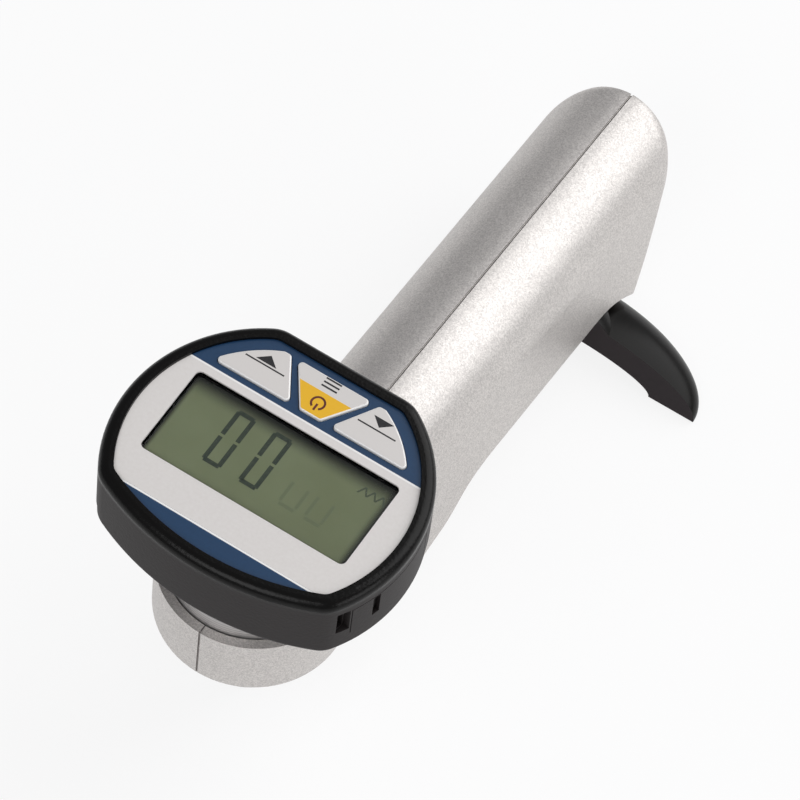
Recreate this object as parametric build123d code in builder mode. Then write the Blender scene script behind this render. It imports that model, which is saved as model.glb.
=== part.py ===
"""Portable indentation hardness tester, as separate pieces. Millimetres, +Z up.

The plunger axis is the Z axis. The nose and the leg's feet stand on Z = 0. The handle
runs back along +Y, and +X is the side with the battery drawer.
"""
from build123d import *
from math import cos, sin, tan, radians, sqrt
import os

os.makedirs("parts", exist_ok=True)

# ---- clearances
RUN = 0.05            # running fit on a round shaft, per side
FIT = 0.1             # gap between pieces that are assembled by hand
FREE = 0.3            # gap between curved faces that never touch
ZERO = 0.0

# ---- collar
COLLAR_R, COLLAR_Z0, COLLAR_H = 17.0, 41.0, 20.8
COLLAR_CAVITY_R, COLLAR_CAVITY_Z1 = 13.45, 52.0
COLLAR_EDGE = 0.5
CLAMP_DROP, CLAMP_R, CLAMP_LEN, CLAMP_HEX = 5.0, 2.0, 9.0, 1.0

# ---- gauge head, from the collar up
COVER_Z = COLLAR_Z0 + COLLAR_H        # underside of the back cover
COVER_FLOOR_T = 3.5
COVER_FLOOR_Z = COVER_Z + COVER_FLOOR_T
COVER_WALL_H = 1.3                    # wall of the cover above its floor
CASE_BASE_Z = COVER_FLOOR_Z + COVER_WALL_H
TRAY_LIFT = 1.1                       # battery tray above the case's lower edge
TRAY_Z0 = CASE_BASE_Z + TRAY_LIFT
TRAY_FLOOR, TRAY_H = 0.6, 3.7
CELL_R, CELL_T, CELL_GAP = 10.0, 3.2, 0.1
CONTACT_T, CONTACT_HALF, CONTACT_AIR = 0.25, 1.8, 0.75
CELL_TOP = TRAY_Z0 + TRAY_FLOOR + CELL_T
BOARD_Z, BOARD_T = CELL_TOP + CONTACT_T + CONTACT_AIR, 1.6
BOARD_TOP = BOARD_Z + BOARD_T
CARRIER_H = 2.8                       # display carrier on the board
LCD_TOP = BOARD_TOP + CARRIER_H
PLATE_Z, PLATE_T = LCD_TOP + FIT, 1.8  # the case's top plate
LENS_T, LABEL_T = 0.8, 0.4
LENS_Z = PLATE_Z + PLATE_T - LENS_T
FACE_Z = PLATE_Z + PLATE_T + LABEL_T  # face of the label sheet
RIM_PROUD = 0.6
RIM_Z = FACE_Z + RIM_PROUD            # top of the rounded rim round the label
GLASS_T, GLASS_AIR = 1.4, 0.4
GLASS_TOP = LENS_Z - GLASS_AIR

# ---- plan of the head
LCD_Y = 2.2           # display centre, behind the plunger axis
HEAD_R = 31.4         # round sides of the head
HEAD_CY = LCD_Y - 0.8
HEAD_FRONT = HEAD_R * 0.804           # display centre to the front edge
HEAD_FRONT_R = HEAD_R * 1.82          # flatter curve of the front
HEAD_FRONT_CY = LCD_Y - HEAD_FRONT + HEAD_FRONT_R
HEAD_REAR = HEAD_R * 0.86             # display centre to the flat rear
HEAD_REAR_Y = LCD_Y + HEAD_REAR
HEAD_FRONT_CORNER = 6.0
HEAD_REAR_CORNER = 6.5
CORNER_MIN = 0.6
CASE_WALL = 2.0
RIM_W, RIM_R = 2.9, 2.0
LIP_T, LIP_H = 1.0, 1.0               # lip of the cover inside the case wall
COVER_INSET, COVER_EDGE_R = 0.2, 1.7
WINDOW_X, WINDOW_Y, WINDOW_R = HEAD_R * 2 - 17.8, 20.1, 1.2
LENS_LAP, LENS_R = 0.9, 1.6           # window pane laps the opening all round
LENS_X, LENS_Y = WINDOW_X + LENS_LAP * 2, WINDOW_Y + LENS_LAP * 2
GLASS_X, GLASS_Y = WINDOW_X - FREE * 2, WINDOW_Y - FREE * 2
LCD_X, LCD_W = WINDOW_X + 3.0, WINDOW_Y + 3.9
BOSS_R, REAR_BOSS_R = 2.2, 1.8
BOSS_X, BOSS_Y = 13.0, LCD_Y - HEAD_FRONT + 6.65
REAR_BOSS_X, REAR_BOSS_Y = HEAD_R - 9.9, HEAD_REAR_Y - 9.7
REAR_BOSS_TOP = BOARD_Z - FIT
COVER_HOLE_R, COVER_SCREW_R, COVER_SCREW_HEAD_R = 1.1, 1.0, 1.9
COVER_SCREW_LEN = 9.0
BOARD_GAP = 0.5
POST_R, POST_HOLE_R = 1.5, 0.65
POST_X, POST_Y = 17.0, LCD_Y - LCD_W / 2 - POST_R - 1.0
REAR_POST_R = 1.15
REAR_POST_Y = HEAD_REAR_Y - CASE_WALL - REAR_POST_R + FIT
BOARD_SCREW_R, BOARD_SCREW_HEAD_R, BOARD_SCREW_HEAD_T, BOARD_SCREW_LEN = 0.65, 0.95, 0.8, 4.0

# ---- keys, from the display centre
KEY_TOP = RIM_Z
KEY_FLANGE_T, KEY_FLANGE = 1.0, 0.3
KEY_FLANGE_Z = PLATE_Z - FIT - KEY_FLANGE_T
KEY_TRAVEL = 0.4
DOME_R, DOME_T, DOME_SIDE = 2.2, 0.45, 30.0
KEY_NUB_R, KEY_NUB_Z = 1.5, BOARD_TOP + DOME_T + KEY_TRAVEL + RUN
KEY_GAP = 0.15
KEY_EDGE_R = 0.35
KEY_CORNER_R = 0.8
KEY_ARC_R, KEY_ARC_CY = HEAD_R - 5.6, -0.8
KEY_LOW_Y, KEY_HIGH_Y = 13.4, HEAD_REAR - 4.6
KEY_SLANT_LOW_X, KEY_SLANT_HIGH_X = 4.4, 9.8
KEY_MID_LOW_X, KEY_MID_HIGH_X = 2.3, 8.4
KEY_MID_CENTRE_Y = KEY_HIGH_Y - 3.2
KEY_SIDE_CENTRE_X, KEY_SIDE_CENTRE_Y = 12.6, KEY_HIGH_Y - 5.0

# ---- battery drawer: slides out along a line turned from +X
DRAWER_ANGLE = -9.6
DRAWER_V0, DRAWER_V1 = -9.9, 11.5     # sides of the drawer, across the slide line
DRAWER_GAP, DRAWER_H = 0.2, 8.6
DRAWER_Z0 = CASE_BASE_Z + DRAWER_GAP
DRAWER_Z1 = DRAWER_Z0 + DRAWER_H
TRAY_Z1 = TRAY_Z0 + TRAY_H
CELL_U = HEAD_R - 13.0                # middle of the cell, along the slide line
TRAY_U0, TRAY_U1 = CELL_U - 11.1, HEAD_R - 1.4
SLOT_HALF = 2.2
GUIDE_T, GUIDE_H, GUIDE_U1 = 1.2, 2.3, HEAD_R - 7.8
GUIDE_STRIP = 2.4
NOTCH_ANGLE, NOTCH_W, NOTCH_DEPTH = -16.4, 1.7, 1.1
NOTCH_Z0, NOTCH_Z1 = DRAWER_Z0 + 2.1, DRAWER_Z1 - 0.2
LEAF_U0, LEAF_U1 = CELL_U - 7.4, CELL_U + 1.6
PRONG_U0, PRONG_U1 = CELL_U - 12.2, CELL_U - 2.4

# ---- data socket
SOCKET_V = -11.7       # beside the drawer, across the slide line
SOCKET_W, SOCKET_Z0, SOCKET_Z1 = 2.6, DRAWER_Z0 + 2.2, DRAWER_Z1 + 0.4
SOCKET_LEN, SOCKET_U1, SOCKET_WALL, SOCKET_BACK = 5.2, HEAD_R - 2.8, 0.4, 1.0
SOCKET_U0 = SOCKET_U1 - SOCKET_LEN
PIN_W, PIN_LEN, PIN_COUNT, PIN_PITCH = 0.5, 2.6, 4, 1.3

# ---- measuring parts of the gauge
SPINDLE_R, SPINDLE_Z1 = 2.0, BOARD_Z - 1.5
TIP_R, TIP_Z0, TIP_Z1, TIP_EDGE_R = 2.4, 49.4, 51.8, 0.6
STEM_R, STEM_Z0 = 4.0, TIP_Z1 + 1.7
STEM_FLANGE_R, STEM_FLANGE_Z0, STEM_FLANGE_T = 7.5, COVER_FLOOR_Z, 1.2
STEM_FLANGE_Z1 = STEM_FLANGE_Z0 + STEM_FLANGE_T
SENSOR_X, SENSOR_Y = 9.0, 10.0
SCALE_Y0, SCALE_Y1, SCALE_HALF, SCALE_Z0 = 1.4, 2.2, 2.6, STEM_FLANGE_Z1 + 0.7

# ---- frame
FOOT_R, FOOT_Z = 5.6, 10.0
BARREL_R, BARREL_Z = 10.6, 22.0
FLANGE_R, FLANGE_Z0, FLANGE_Z1 = 16.5, 38.0, 41.0
SPIGOT_R, SPIGOT_Z = 13.35, 45.0
CHAMBER_R, CHAMBER_Z = 7.6, 17.0
SLEEVE_BORE_R = 4.45
ARM_HALF = 4.5
ARM_TOP = ((6.0, 38.0), (20.0, 38.0), (118.0, 25.0))
ARM_LOW = ((118.0, 14.7), (112.0, 14.7), (101.0, 15.5), (60.0, 22.2), (44.0, 20.5), (6.0, 20.5))
PAD_HALF, PAD_Y0, PAD_Y1, PAD_Z0, PAD_Z1 = 8.0, 103.0, 117.5, 14.7, 18.5
ARM_WINDOWS = ((42.0, 60.0), (76.0, 94.0))   # lightening holes, start and end along Y
ARM_WINDOW_MARGIN = 4.0

# ---- housing
WALL = 2.2
HANDLE_TOP_R = 14.9
DRAFT = 12.0
RIDGE_Z, RIDGE_Y, RIDGE_SLOPE = 51.35, -2.3, -0.1208
UNDER_Z = 16.2
UNDER_FLAT_Y = 42.0
UNDER_KNEE = (52.0, 17.9)
UNDER_HIGH = (64.0, 17.6)
UNDER_BACK = (104.0, 12.1)             # from here the underside drops to the heel
UNDER_HEEL = ((111.5, 10.0), (118.0, 5.9))
UNDER_END = (126.0, 0.0)
SHOULDER = ((8.5, 0.0), (19.6, 25.0))  # plan of the flanks where they run into the nose cone
# height, rearmost point and plan radius of the handle's end
TAIL_LEVELS = ((-4.0, 124.0, 22.0), (8.0, 132.4, 22.0), (17.0, 138.2, 21.5), (27.0, 144.2, 20.5),
               (33.0, 147.2, 20.4), (40.0, 149.2, 20.0), (54.0, 149.2, 20.0))
TAIL_CUT_Y, TAIL_EDGE_Y, HANDLE_LEN, TAIL_MAX_Y = 98.0, 129.0, 170.0, 152.0
TAIL_EDGE_R = 4.0
RING_R, RING_TOP, RING_LOW = 19.2, 47.25, 31.7
NOSE_R, NOSE_Z = 8.0, 10.5
RING_BORE_R = 17.3
NOSE_BORE_R = 6.4
BEAD_R = 0.5
SEAM_W, SEAM_DEPTH = 0.22, 0.5
PAD_WINDOW = 0.3
HOUSING_SCREWS = ((27.0, 24.0), (62.0, 29.6), (112.0, 22.4))
HOUSING_POST_R, HOUSING_SCREW_R, HOUSING_HEAD_R, HOUSING_HEAD_T = 3.6, 1.5, 2.75, 2.0
HOUSING_HEAD_X = -11.6
HOUSING_SCREW_END = 9.0
ARM_HOLE_R = 4.0

# ---- leg
LEG_X, LEG_Y = 11.1, 102.0
LEG_A, LEG_B, LEG_C = 32.6, 16.5, 9.3
SADDLE_X, SADDLE_A, SADDLE_B, SADDLE_C = 4.0, 22.0, 14.5, 14.0  # rise that meets the handle
LEG_RAKE = 17.0
ARCH_A, ARCH_C = 21.8, 4.0
LEG_BOSS_HALF, LEG_BOSS_Y0, LEG_BOSS_Y1, LEG_BOSS_Z = 7.5, 104.0, 116.0, PAD_Z0
LEG_SCREW_YS = (107.0, 112.6)
LEG_SCREW_R, LEG_SCREW_HEAD_R, LEG_SCREW_HEAD_Z, LEG_SCREW_HEAD_T = 1.5, 2.6, 4.6, 1.8
LEG_SCREW_TOP = 17.8

# ---- plunger and load
NOSE_PIN_R, NOSE_PIN_LEN = 2.4, 4.0
SLEEVE_BODY_R, SLEEVE_SHOULDER_R, SLEEVE_SHOULDER_Z, SLEEVE_TOP = 4.6, 5.9, 8.0, 16.9
ORIFICE_R, ORIFICE_Z = 1.0, 2.5
LOW_STEM_R, LOW_STEM_Z0, LOW_STEM_Z1 = 1.6, 3.0, 9.0
PLUNGER_R, PLUNGER_COLLAR_R, PLUNGER_COLLAR_T = 2.55, 6.9, 3.0
UPPER_STEM_R, UPPER_STEM_Z1 = 2.0, 49.4
POINT_TIP_Z, POINT_FLAT_R, POINT_HALF_ANGLE = -0.76, 0.08, 13.0
POINT_CONE_Z, POINT_R, POINT_TOP_Z = 1.2, 0.8, 7.0
SPRING_R, SPRING_WIRE_R, SPRING_PITCH = 6.0, 0.85, 3.3
GUIDE_Z0, GUIDE_TOP, GUIDE_R = 36.6, 49.0, 7.5
GUIDE_SLOT_W, GUIDE_SLOT_DEPTH = 2.0, 1.5
NUT_AF, NUT_Z1 = 20.0, 48.2


DRAWER_PLANE = Plane(
    origin=(ZERO, LCD_Y, ZERO),
    x_dir=(cos(radians(DRAWER_ANGLE)), sin(radians(DRAWER_ANGLE)), ZERO),
    z_dir=(ZERO, ZERO, 1))
DRAWER_MID = (DRAWER_V0 + DRAWER_V1) / 2
DRAWER_W = DRAWER_V1 - DRAWER_V0


def head_outline(inset):
    """Plan of the gauge head: round sides, flat rear, flatter curve in front."""
    with BuildSketch(Plane.XY) as plan:
        with Locations((ZERO, HEAD_CY)):
            Circle(HEAD_R - inset)
        with Locations((ZERO, HEAD_FRONT_CY)):
            Circle(HEAD_FRONT_R - inset, mode=Mode.INTERSECT)
        with Locations((ZERO, HEAD_REAR_Y - inset - HEAD_R)):
            Rectangle(HEAD_R * 4, HEAD_R * 2, mode=Mode.INTERSECT)
        fillet(plan.vertices().sort_by(Axis.Y)[:2],
               radius=max(HEAD_FRONT_CORNER - inset, CORNER_MIN))
        fillet(plan.vertices().sort_by(Axis.Y)[-2:],
               radius=max(HEAD_REAR_CORNER - inset, CORNER_MIN))
    return plan.sketch


def head_block():
    """Outside of the case: upright wall below a rounded rim."""
    with BuildPart() as block:
        with BuildSketch(Plane.XY.offset(CASE_BASE_Z)):
            add(head_outline(ZERO))
        extrude(amount=RIM_Z - CASE_BASE_Z)
        fillet(block.edges().group_by(Axis.Z)[-1], radius=RIM_R)
    return block.part


def side_key_plan(side, grow):
    """Plan of a side key: slanted inner edge, curved outer edge."""
    low_x = sqrt(KEY_ARC_R ** 2 - (KEY_LOW_Y - KEY_ARC_CY) ** 2)
    high_x = sqrt(KEY_ARC_R ** 2 - (KEY_HIGH_Y - KEY_ARC_CY) ** 2)
    mid_x = (low_x + high_x) / 2
    mid_y = KEY_ARC_CY + sqrt(KEY_ARC_R ** 2 - mid_x ** 2)
    with BuildSketch(Plane.XY) as plan:
        with BuildLine():
            Line((side * KEY_SLANT_LOW_X, LCD_Y + KEY_LOW_Y), (side * low_x, LCD_Y + KEY_LOW_Y))
            ThreePointArc((side * low_x, LCD_Y + KEY_LOW_Y), (side * mid_x, LCD_Y + mid_y),
                          (side * high_x, LCD_Y + KEY_HIGH_Y))
            Line((side * high_x, LCD_Y + KEY_HIGH_Y),
                 (side * KEY_SLANT_HIGH_X, LCD_Y + KEY_HIGH_Y))
            Line((side * KEY_SLANT_HIGH_X, LCD_Y + KEY_HIGH_Y),
                 (side * KEY_SLANT_LOW_X, LCD_Y + KEY_LOW_Y))
        make_face()
        fillet(plan.vertices(), radius=KEY_CORNER_R)
        if grow > ZERO:
            offset(amount=grow)
    return plan.sketch


def middle_key_plan(grow):
    """Plan of the middle key: wide at the rear, narrow towards the display."""
    with BuildSketch(Plane.XY) as plan:
        with BuildLine():
            Polyline((KEY_MID_LOW_X, LCD_Y + KEY_LOW_Y), (KEY_MID_HIGH_X, LCD_Y + KEY_HIGH_Y),
                     (-KEY_MID_HIGH_X, LCD_Y + KEY_HIGH_Y), (-KEY_MID_LOW_X, LCD_Y + KEY_LOW_Y),
                     close=True)
        make_face()
        fillet(plan.vertices(), radius=KEY_CORNER_R)
        if grow > ZERO:
            offset(amount=grow)
    return plan.sketch


def drawer_strip(grow, z0, height):
    """Box along the drawer's slide line, wide enough for the drawer plus grow."""
    with BuildPart() as strip:
        with BuildSketch(DRAWER_PLANE.offset(z0 - grow)):
            with Locations((HEAD_R, DRAWER_MID)):
                Rectangle(HEAD_R, DRAWER_W + grow * 2)
        extrude(amount=height + grow * 2)
    return strip.part


def handle_form(inset, edge_r):
    """Handle body: round ridge, drafted flanks, shaped underside, rounded end."""
    radius = HANDLE_TOP_R - inset
    centre_z = RIDGE_Z + RIDGE_SLOPE * (ZERO - RIDGE_Y) - HANDLE_TOP_R
    side_x = radius * cos(radians(DRAFT))
    side_z = centre_z + radius * sin(radians(DRAFT))
    low_z = -HANDLE_TOP_R * 2
    low_x = side_x + (side_z - low_z) * tan(radians(DRAFT))
    with BuildPart() as form:
        with BuildSketch(Plane.XZ):
            with BuildLine():
                ThreePointArc((side_x, side_z), (ZERO, centre_z + radius), (-side_x, side_z))
                Polyline((-side_x, side_z), (-low_x, low_z), (low_x, low_z), (side_x, side_z))
            make_face()
        extrude(amount=HANDLE_LEN * sqrt(1 + RIDGE_SLOPE ** 2), dir=(ZERO, 1, RIDGE_SLOPE))
        with BuildSketch(Plane.XY.offset(-WALL)):
            with BuildLine():
                Polyline((SHOULDER[0][0] - inset, SHOULDER[0][1]),
                         (SHOULDER[1][0] - inset, SHOULDER[1][1]), (HEAD_R, SHOULDER[1][1]),
                         (HEAD_R, HANDLE_LEN), (-HEAD_R, HANDLE_LEN),
                         (-HEAD_R, SHOULDER[1][1]), (inset - SHOULDER[1][0], SHOULDER[1][1]),
                         (inset - SHOULDER[0][0], SHOULDER[0][1]), close=True)
            make_face()
        extrude(amount=RIDGE_Z * 2, mode=Mode.INTERSECT)
        add(tail_cut(inset), mode=Mode.SUBTRACT)
        if edge_r > ZERO:
            tail_edges = form.edges().filter_by(
                lambda e: e.center().Y > TAIL_EDGE_Y and e.center().Z > RING_LOW)
            fillet(tail_edges, radius=edge_r)
        add(underside(inset), mode=Mode.INTERSECT)
    return form.part


def underside(inset):
    """Block above the handle's underside, which drops to a heel behind the leg."""
    fall = (UNDER_BACK[0] - UNDER_HIGH[0], UNDER_BACK[1] - UNDER_HIGH[1])
    heel_fall = (UNDER_END[0] - UNDER_HEEL[1][0], UNDER_END[1] - UNDER_HEEL[1][1])

    def lift(point):
        return point[0], point[1] + inset

    with BuildPart() as block:
        with BuildSketch(Plane.YZ.offset(-HEAD_R)):
            with BuildLine():
                Line((ZERO, UNDER_Z + inset), (UNDER_FLAT_Y, UNDER_Z + inset))
                Spline((UNDER_FLAT_Y, UNDER_Z + inset), lift(UNDER_KNEE), lift(UNDER_HIGH),
                       tangents=[(1, ZERO), fall])
                Line(lift(UNDER_HIGH), lift(UNDER_BACK))
                Spline(lift(UNDER_BACK), lift(UNDER_HEEL[0]), lift(UNDER_HEEL[1]),
                       tangents=[fall, heel_fall])
                Polyline(lift(UNDER_HEEL[1]), lift(UNDER_END), (TAIL_MAX_Y, RIDGE_Z),
                         (ZERO, RIDGE_Z), (ZERO, UNDER_Z + inset))
            make_face()
        extrude(amount=HEAD_R * 2)
    return block.part


def tail_cut(inset):
    """Block with a hollow in the shape of the handle's rounded, raked end."""
    with BuildPart() as hollow:
        for level, end, end_r in TAIL_LEVELS:
            end_y = end - inset
            half = end_r - inset
            with BuildSketch(Plane.XY.offset(level)):
                with BuildLine():
                    ThreePointArc((half, end_y - half), (ZERO, end_y), (-half, end_y - half))
                    Polyline((-half, end_y - half), (-half, TAIL_CUT_Y - half),
                             (half, TAIL_CUT_Y - half), (half, end_y - half))
                make_face()
        loft()
    with BuildPart() as block:
        with BuildSketch(Plane.XY.offset(TAIL_LEVELS[0][0])):
            with Locations((ZERO, (TAIL_CUT_Y + HANDLE_LEN) / 2)):
                Rectangle(HEAD_R * 2, HANDLE_LEN - TAIL_CUT_Y)
        extrude(amount=TAIL_LEVELS[-1][0] - TAIL_LEVELS[0][0])
        add(hollow.part, mode=Mode.SUBTRACT)
    return block.part


def ring_form(inset, top):
    """Round front of the housing: cylinder above a cone that narrows to the nose."""
    with BuildPart() as form:
        with BuildSketch(Plane.XZ):
            with BuildLine():
                Polyline((ZERO, NOSE_Z), (NOSE_R - inset, NOSE_Z), (RING_R - inset, RING_LOW),
                         (RING_R - inset, top), (ZERO, top), (ZERO, NOSE_Z))
            make_face()
        revolve(axis=Axis.Z)
    return form.part


# ============ housing: two cast shells that meet on the middle plane
with BuildPart() as outer_form:
    add(handle_form(ZERO, TAIL_EDGE_R))
    add(ring_form(ZERO, RING_TOP))
    with BuildSketch(Plane.XY.offset(FLANGE_Z1)):
        Circle(RING_BORE_R)
    extrude(amount=RIDGE_Z - FLANGE_Z1 + WALL, mode=Mode.SUBTRACT)

with BuildPart() as inner_form:
    add(handle_form(WALL, ZERO))
    add(ring_form(WALL, FLANGE_Z1))
    with BuildSketch(Plane.XY.offset(NOSE_Z - WALL)):
        Circle(NOSE_BORE_R)
    extrude(amount=WALL * 2)

with BuildPart() as seam_form:
    with BuildSketch(Plane.YZ.offset(-SEAM_W)):
        with Locations((HANDLE_LEN / 2 - RING_R * 2, RIDGE_Z / 2)):
            Rectangle(HANDLE_LEN + RING_R * 2, RIDGE_Z * 2)
    extrude(amount=SEAM_W * 2)
    add(handle_form(SEAM_DEPTH, ZERO), mode=Mode.SUBTRACT)
    add(ring_form(SEAM_DEPTH, RIDGE_Z), mode=Mode.SUBTRACT)

with BuildPart() as housing_shell:
    add(outer_form.part)
    add(inner_form.part, mode=Mode.SUBTRACT)
    add(seam_form.part, mode=Mode.SUBTRACT)
    with BuildSketch(Plane.XY):
        with Locations((ZERO, (LEG_BOSS_Y0 + LEG_BOSS_Y1) / 2)):
            Rectangle(LEG_BOSS_HALF * 2 + PAD_WINDOW * 2,
                      LEG_BOSS_Y1 - LEG_BOSS_Y0 + PAD_WINDOW * 2)
    extrude(amount=LEG_BOSS_Z, mode=Mode.SUBTRACT)

with BuildPart() as housing_posts:
    with BuildSketch(Plane.YZ.offset(-HEAD_R)):
        with Locations(*HOUSING_SCREWS):
            Circle(HOUSING_POST_R)
    extrude(amount=HEAD_R * 2)
    add(outer_form.part, mode=Mode.INTERSECT)

with BuildPart() as housing_right:
    add(housing_shell.part)
    add(housing_posts.part)
    split(bisect_by=Plane.YZ, keep=Keep.TOP)
    with BuildSketch(Plane.YZ):
        with Locations(*HOUSING_SCREWS):
            Circle(HOUSING_SCREW_R)
    extrude(amount=HOUSING_SCREW_END + FREE, mode=Mode.SUBTRACT)

with BuildPart() as housing_left:
    add(housing_shell.part)
    add(housing_posts.part)
    split(bisect_by=Plane.YZ, keep=Keep.BOTTOM)
    with BuildSketch(Plane.YZ.offset(HOUSING_HEAD_X)):
        with Locations(*HOUSING_SCREWS):
            Circle(HOUSING_SCREW_R + FIT)
    extrude(amount=-HOUSING_HEAD_X, mode=Mode.SUBTRACT)
    with BuildSketch(Plane.YZ.offset(HOUSING_HEAD_X)):
        with Locations(*HOUSING_SCREWS):
            Circle(HOUSING_HEAD_R + FIT)
    extrude(amount=HOUSING_HEAD_X * 2, mode=Mode.SUBTRACT)

# ============ housing screws: pan-headed, from the left
with BuildPart() as housing_screws:
    with BuildSketch(Plane.YZ.offset(HOUSING_HEAD_X)):
        with Locations(*HOUSING_SCREWS):
            Circle(HOUSING_SCREW_R)
    extrude(amount=HOUSING_SCREW_END - HOUSING_HEAD_X)
    with BuildSketch(Plane.YZ.offset(HOUSING_HEAD_X)):
        with Locations(*HOUSING_SCREWS):
            Circle(HOUSING_HEAD_R)
    extrude(amount=-HOUSING_HEAD_T)
    with BuildSketch(Plane.YZ.offset(HOUSING_HEAD_X - HOUSING_HEAD_T)):
        with Locations(*HOUSING_SCREWS):
            Rectangle(HOUSING_HEAD_R, HOUSING_HEAD_R / 4)
            Rectangle(HOUSING_HEAD_R / 4, HOUSING_HEAD_R)
    extrude(amount=HOUSING_HEAD_T / 2, mode=Mode.SUBTRACT)

# ============ frame: cast barrel with an arm back to the leg
with BuildPart() as frame:
    with BuildSketch(Plane.YZ.offset(-ARM_HALF)):
        with BuildLine():
            Polyline(*ARM_TOP, *ARM_LOW, close=True)
        make_face()
    extrude(amount=ARM_HALF * 2)
    with BuildSketch(Plane.YZ.offset(-ARM_HALF)):
        for y0, y1 in ARM_WINDOWS:
            mid_y = (y0 + y1) / 2
            mid_z = ARM_TOP[1][1] + (ARM_TOP[2][1] - ARM_TOP[1][1]) * (
                (mid_y - ARM_TOP[1][0]) / (ARM_TOP[2][0] - ARM_TOP[1][0])) - ARM_WINDOW_MARGIN * 2
            with Locations((mid_y, mid_z)):
                SlotOverall(y1 - y0, ARM_WINDOW_MARGIN)
    extrude(amount=ARM_HALF * 2, mode=Mode.SUBTRACT)
    with BuildSketch(Plane.XY.offset(PAD_Z0)):
        with Locations((ZERO, (PAD_Y0 + PAD_Y1) / 2)):
            Rectangle(PAD_HALF * 2, PAD_Y1 - PAD_Y0)
    extrude(amount=PAD_Z1 - PAD_Z0)
    with BuildSketch(Plane.YZ.offset(-ARM_HALF * 2)):
        with Locations(*HOUSING_SCREWS):
            Circle(ARM_HOLE_R)
    extrude(amount=ARM_HALF * 4, mode=Mode.SUBTRACT)
    with BuildSketch(Plane.XZ):
        with BuildLine():
            Polyline((ZERO, FOOT_Z), (FOOT_R, FOOT_Z), (BARREL_R, BARREL_Z),
                     (BARREL_R, FLANGE_Z0), (FLANGE_R, FLANGE_Z0), (FLANGE_R, FLANGE_Z1),
                     (SPIGOT_R, FLANGE_Z1), (SPIGOT_R, SPIGOT_Z), (ZERO, SPIGOT_Z),
                     (ZERO, FOOT_Z))
        make_face()
    revolve(axis=Axis.Z)
    with BuildSketch(Plane.XY.offset(CHAMBER_Z)):
        Circle(CHAMBER_R)
    extrude(amount=SPIGOT_Z - CHAMBER_Z, mode=Mode.SUBTRACT)
    with BuildSketch(Plane.XY.offset(FOOT_Z)):
        Circle(SLEEVE_BORE_R)
    extrude(amount=CHAMBER_Z - FOOT_Z, mode=Mode.SUBTRACT)
    with BuildSketch(Plane.XY.offset(PAD_Z0)):
        for screw_y in LEG_SCREW_YS:
            with Locations((ZERO, screw_y)):
                Circle(LEG_SCREW_R)
    extrude(amount=LEG_SCREW_TOP - PAD_Z0 + FREE, mode=Mode.SUBTRACT)

# ============ leg: one casting, domed at the back, arched, with two feet
with BuildPart() as dome_form:
    Sphere(radius=1)
    scale(by=(LEG_A, LEG_B, LEG_C))
leg_dome = Location((LEG_X, LEG_Y, ZERO)) * dome_form.part
with BuildPart() as saddle_form:
    Sphere(radius=1)
    scale(by=(SADDLE_A, SADDLE_B, SADDLE_C))
leg_saddle = Location((SADDLE_X, LEG_Y, ZERO)) * saddle_form.part
with BuildPart() as leg:
    add(leg_dome)
    add(leg_saddle)
    with BuildSketch(Plane.YZ.offset(LEG_X - LEG_A)):
        with BuildLine():
            Polyline((LEG_Y, ZERO), (LEG_Y + LEG_B, ZERO),
                     (LEG_Y + LEG_B, LEG_C * 2), (LEG_Y + LEG_C * 2 * tan(radians(LEG_RAKE)),
                                                  LEG_C * 2), close=True)
        make_face()
    extrude(amount=LEG_A * 2, mode=Mode.INTERSECT)
    add(outer_form.part, mode=Mode.SUBTRACT)
    with BuildSketch(Plane.XY.offset(LEG_C / 2)):
        with Locations((ZERO, (LEG_BOSS_Y0 + LEG_BOSS_Y1) / 2)):
            Rectangle(LEG_BOSS_HALF * 2, LEG_BOSS_Y1 - LEG_BOSS_Y0)
    extrude(amount=LEG_BOSS_Z - LEG_C / 2)
    with BuildSketch(Plane.XZ.offset(-LEG_Y + LEG_B)):
        with Locations((LEG_X, ZERO)):
            Ellipse(ARCH_A, ARCH_C)
    extrude(amount=-LEG_B * 3, mode=Mode.SUBTRACT)
    with BuildSketch(Plane.XY):
        for screw_y in LEG_SCREW_YS:
            with Locations((ZERO, screw_y)):
                Circle(LEG_SCREW_R + FIT)
    extrude(amount=LEG_BOSS_Z, mode=Mode.SUBTRACT)
    with BuildSketch(Plane.XY):
        for screw_y in LEG_SCREW_YS:
            with Locations((ZERO, screw_y)):
                Circle(LEG_SCREW_HEAD_R + FIT)
    extrude(amount=LEG_SCREW_HEAD_Z + LEG_SCREW_HEAD_T, mode=Mode.SUBTRACT)

# ============ leg screws: up through the leg into the frame
with BuildPart() as leg_screws:
    with BuildSketch(Plane.XY.offset(LEG_SCREW_HEAD_Z)):
        for screw_y in LEG_SCREW_YS:
            with Locations((ZERO, screw_y)):
                Circle(LEG_SCREW_HEAD_R)
    extrude(amount=LEG_SCREW_HEAD_T)
    with BuildSketch(Plane.XY.offset(LEG_SCREW_HEAD_Z)):
        for screw_y in LEG_SCREW_YS:
            with Locations((ZERO, screw_y)):
                Circle(LEG_SCREW_R)
    extrude(amount=LEG_SCREW_TOP - LEG_SCREW_HEAD_Z)
    with BuildSketch(Plane.XY.offset(LEG_SCREW_HEAD_Z)):
        for screw_y in LEG_SCREW_YS:
            with Locations((ZERO, screw_y)):
                RegularPolygon(LEG_SCREW_R, 6)
    extrude(amount=LEG_SCREW_HEAD_T / 2, mode=Mode.SUBTRACT)

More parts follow.
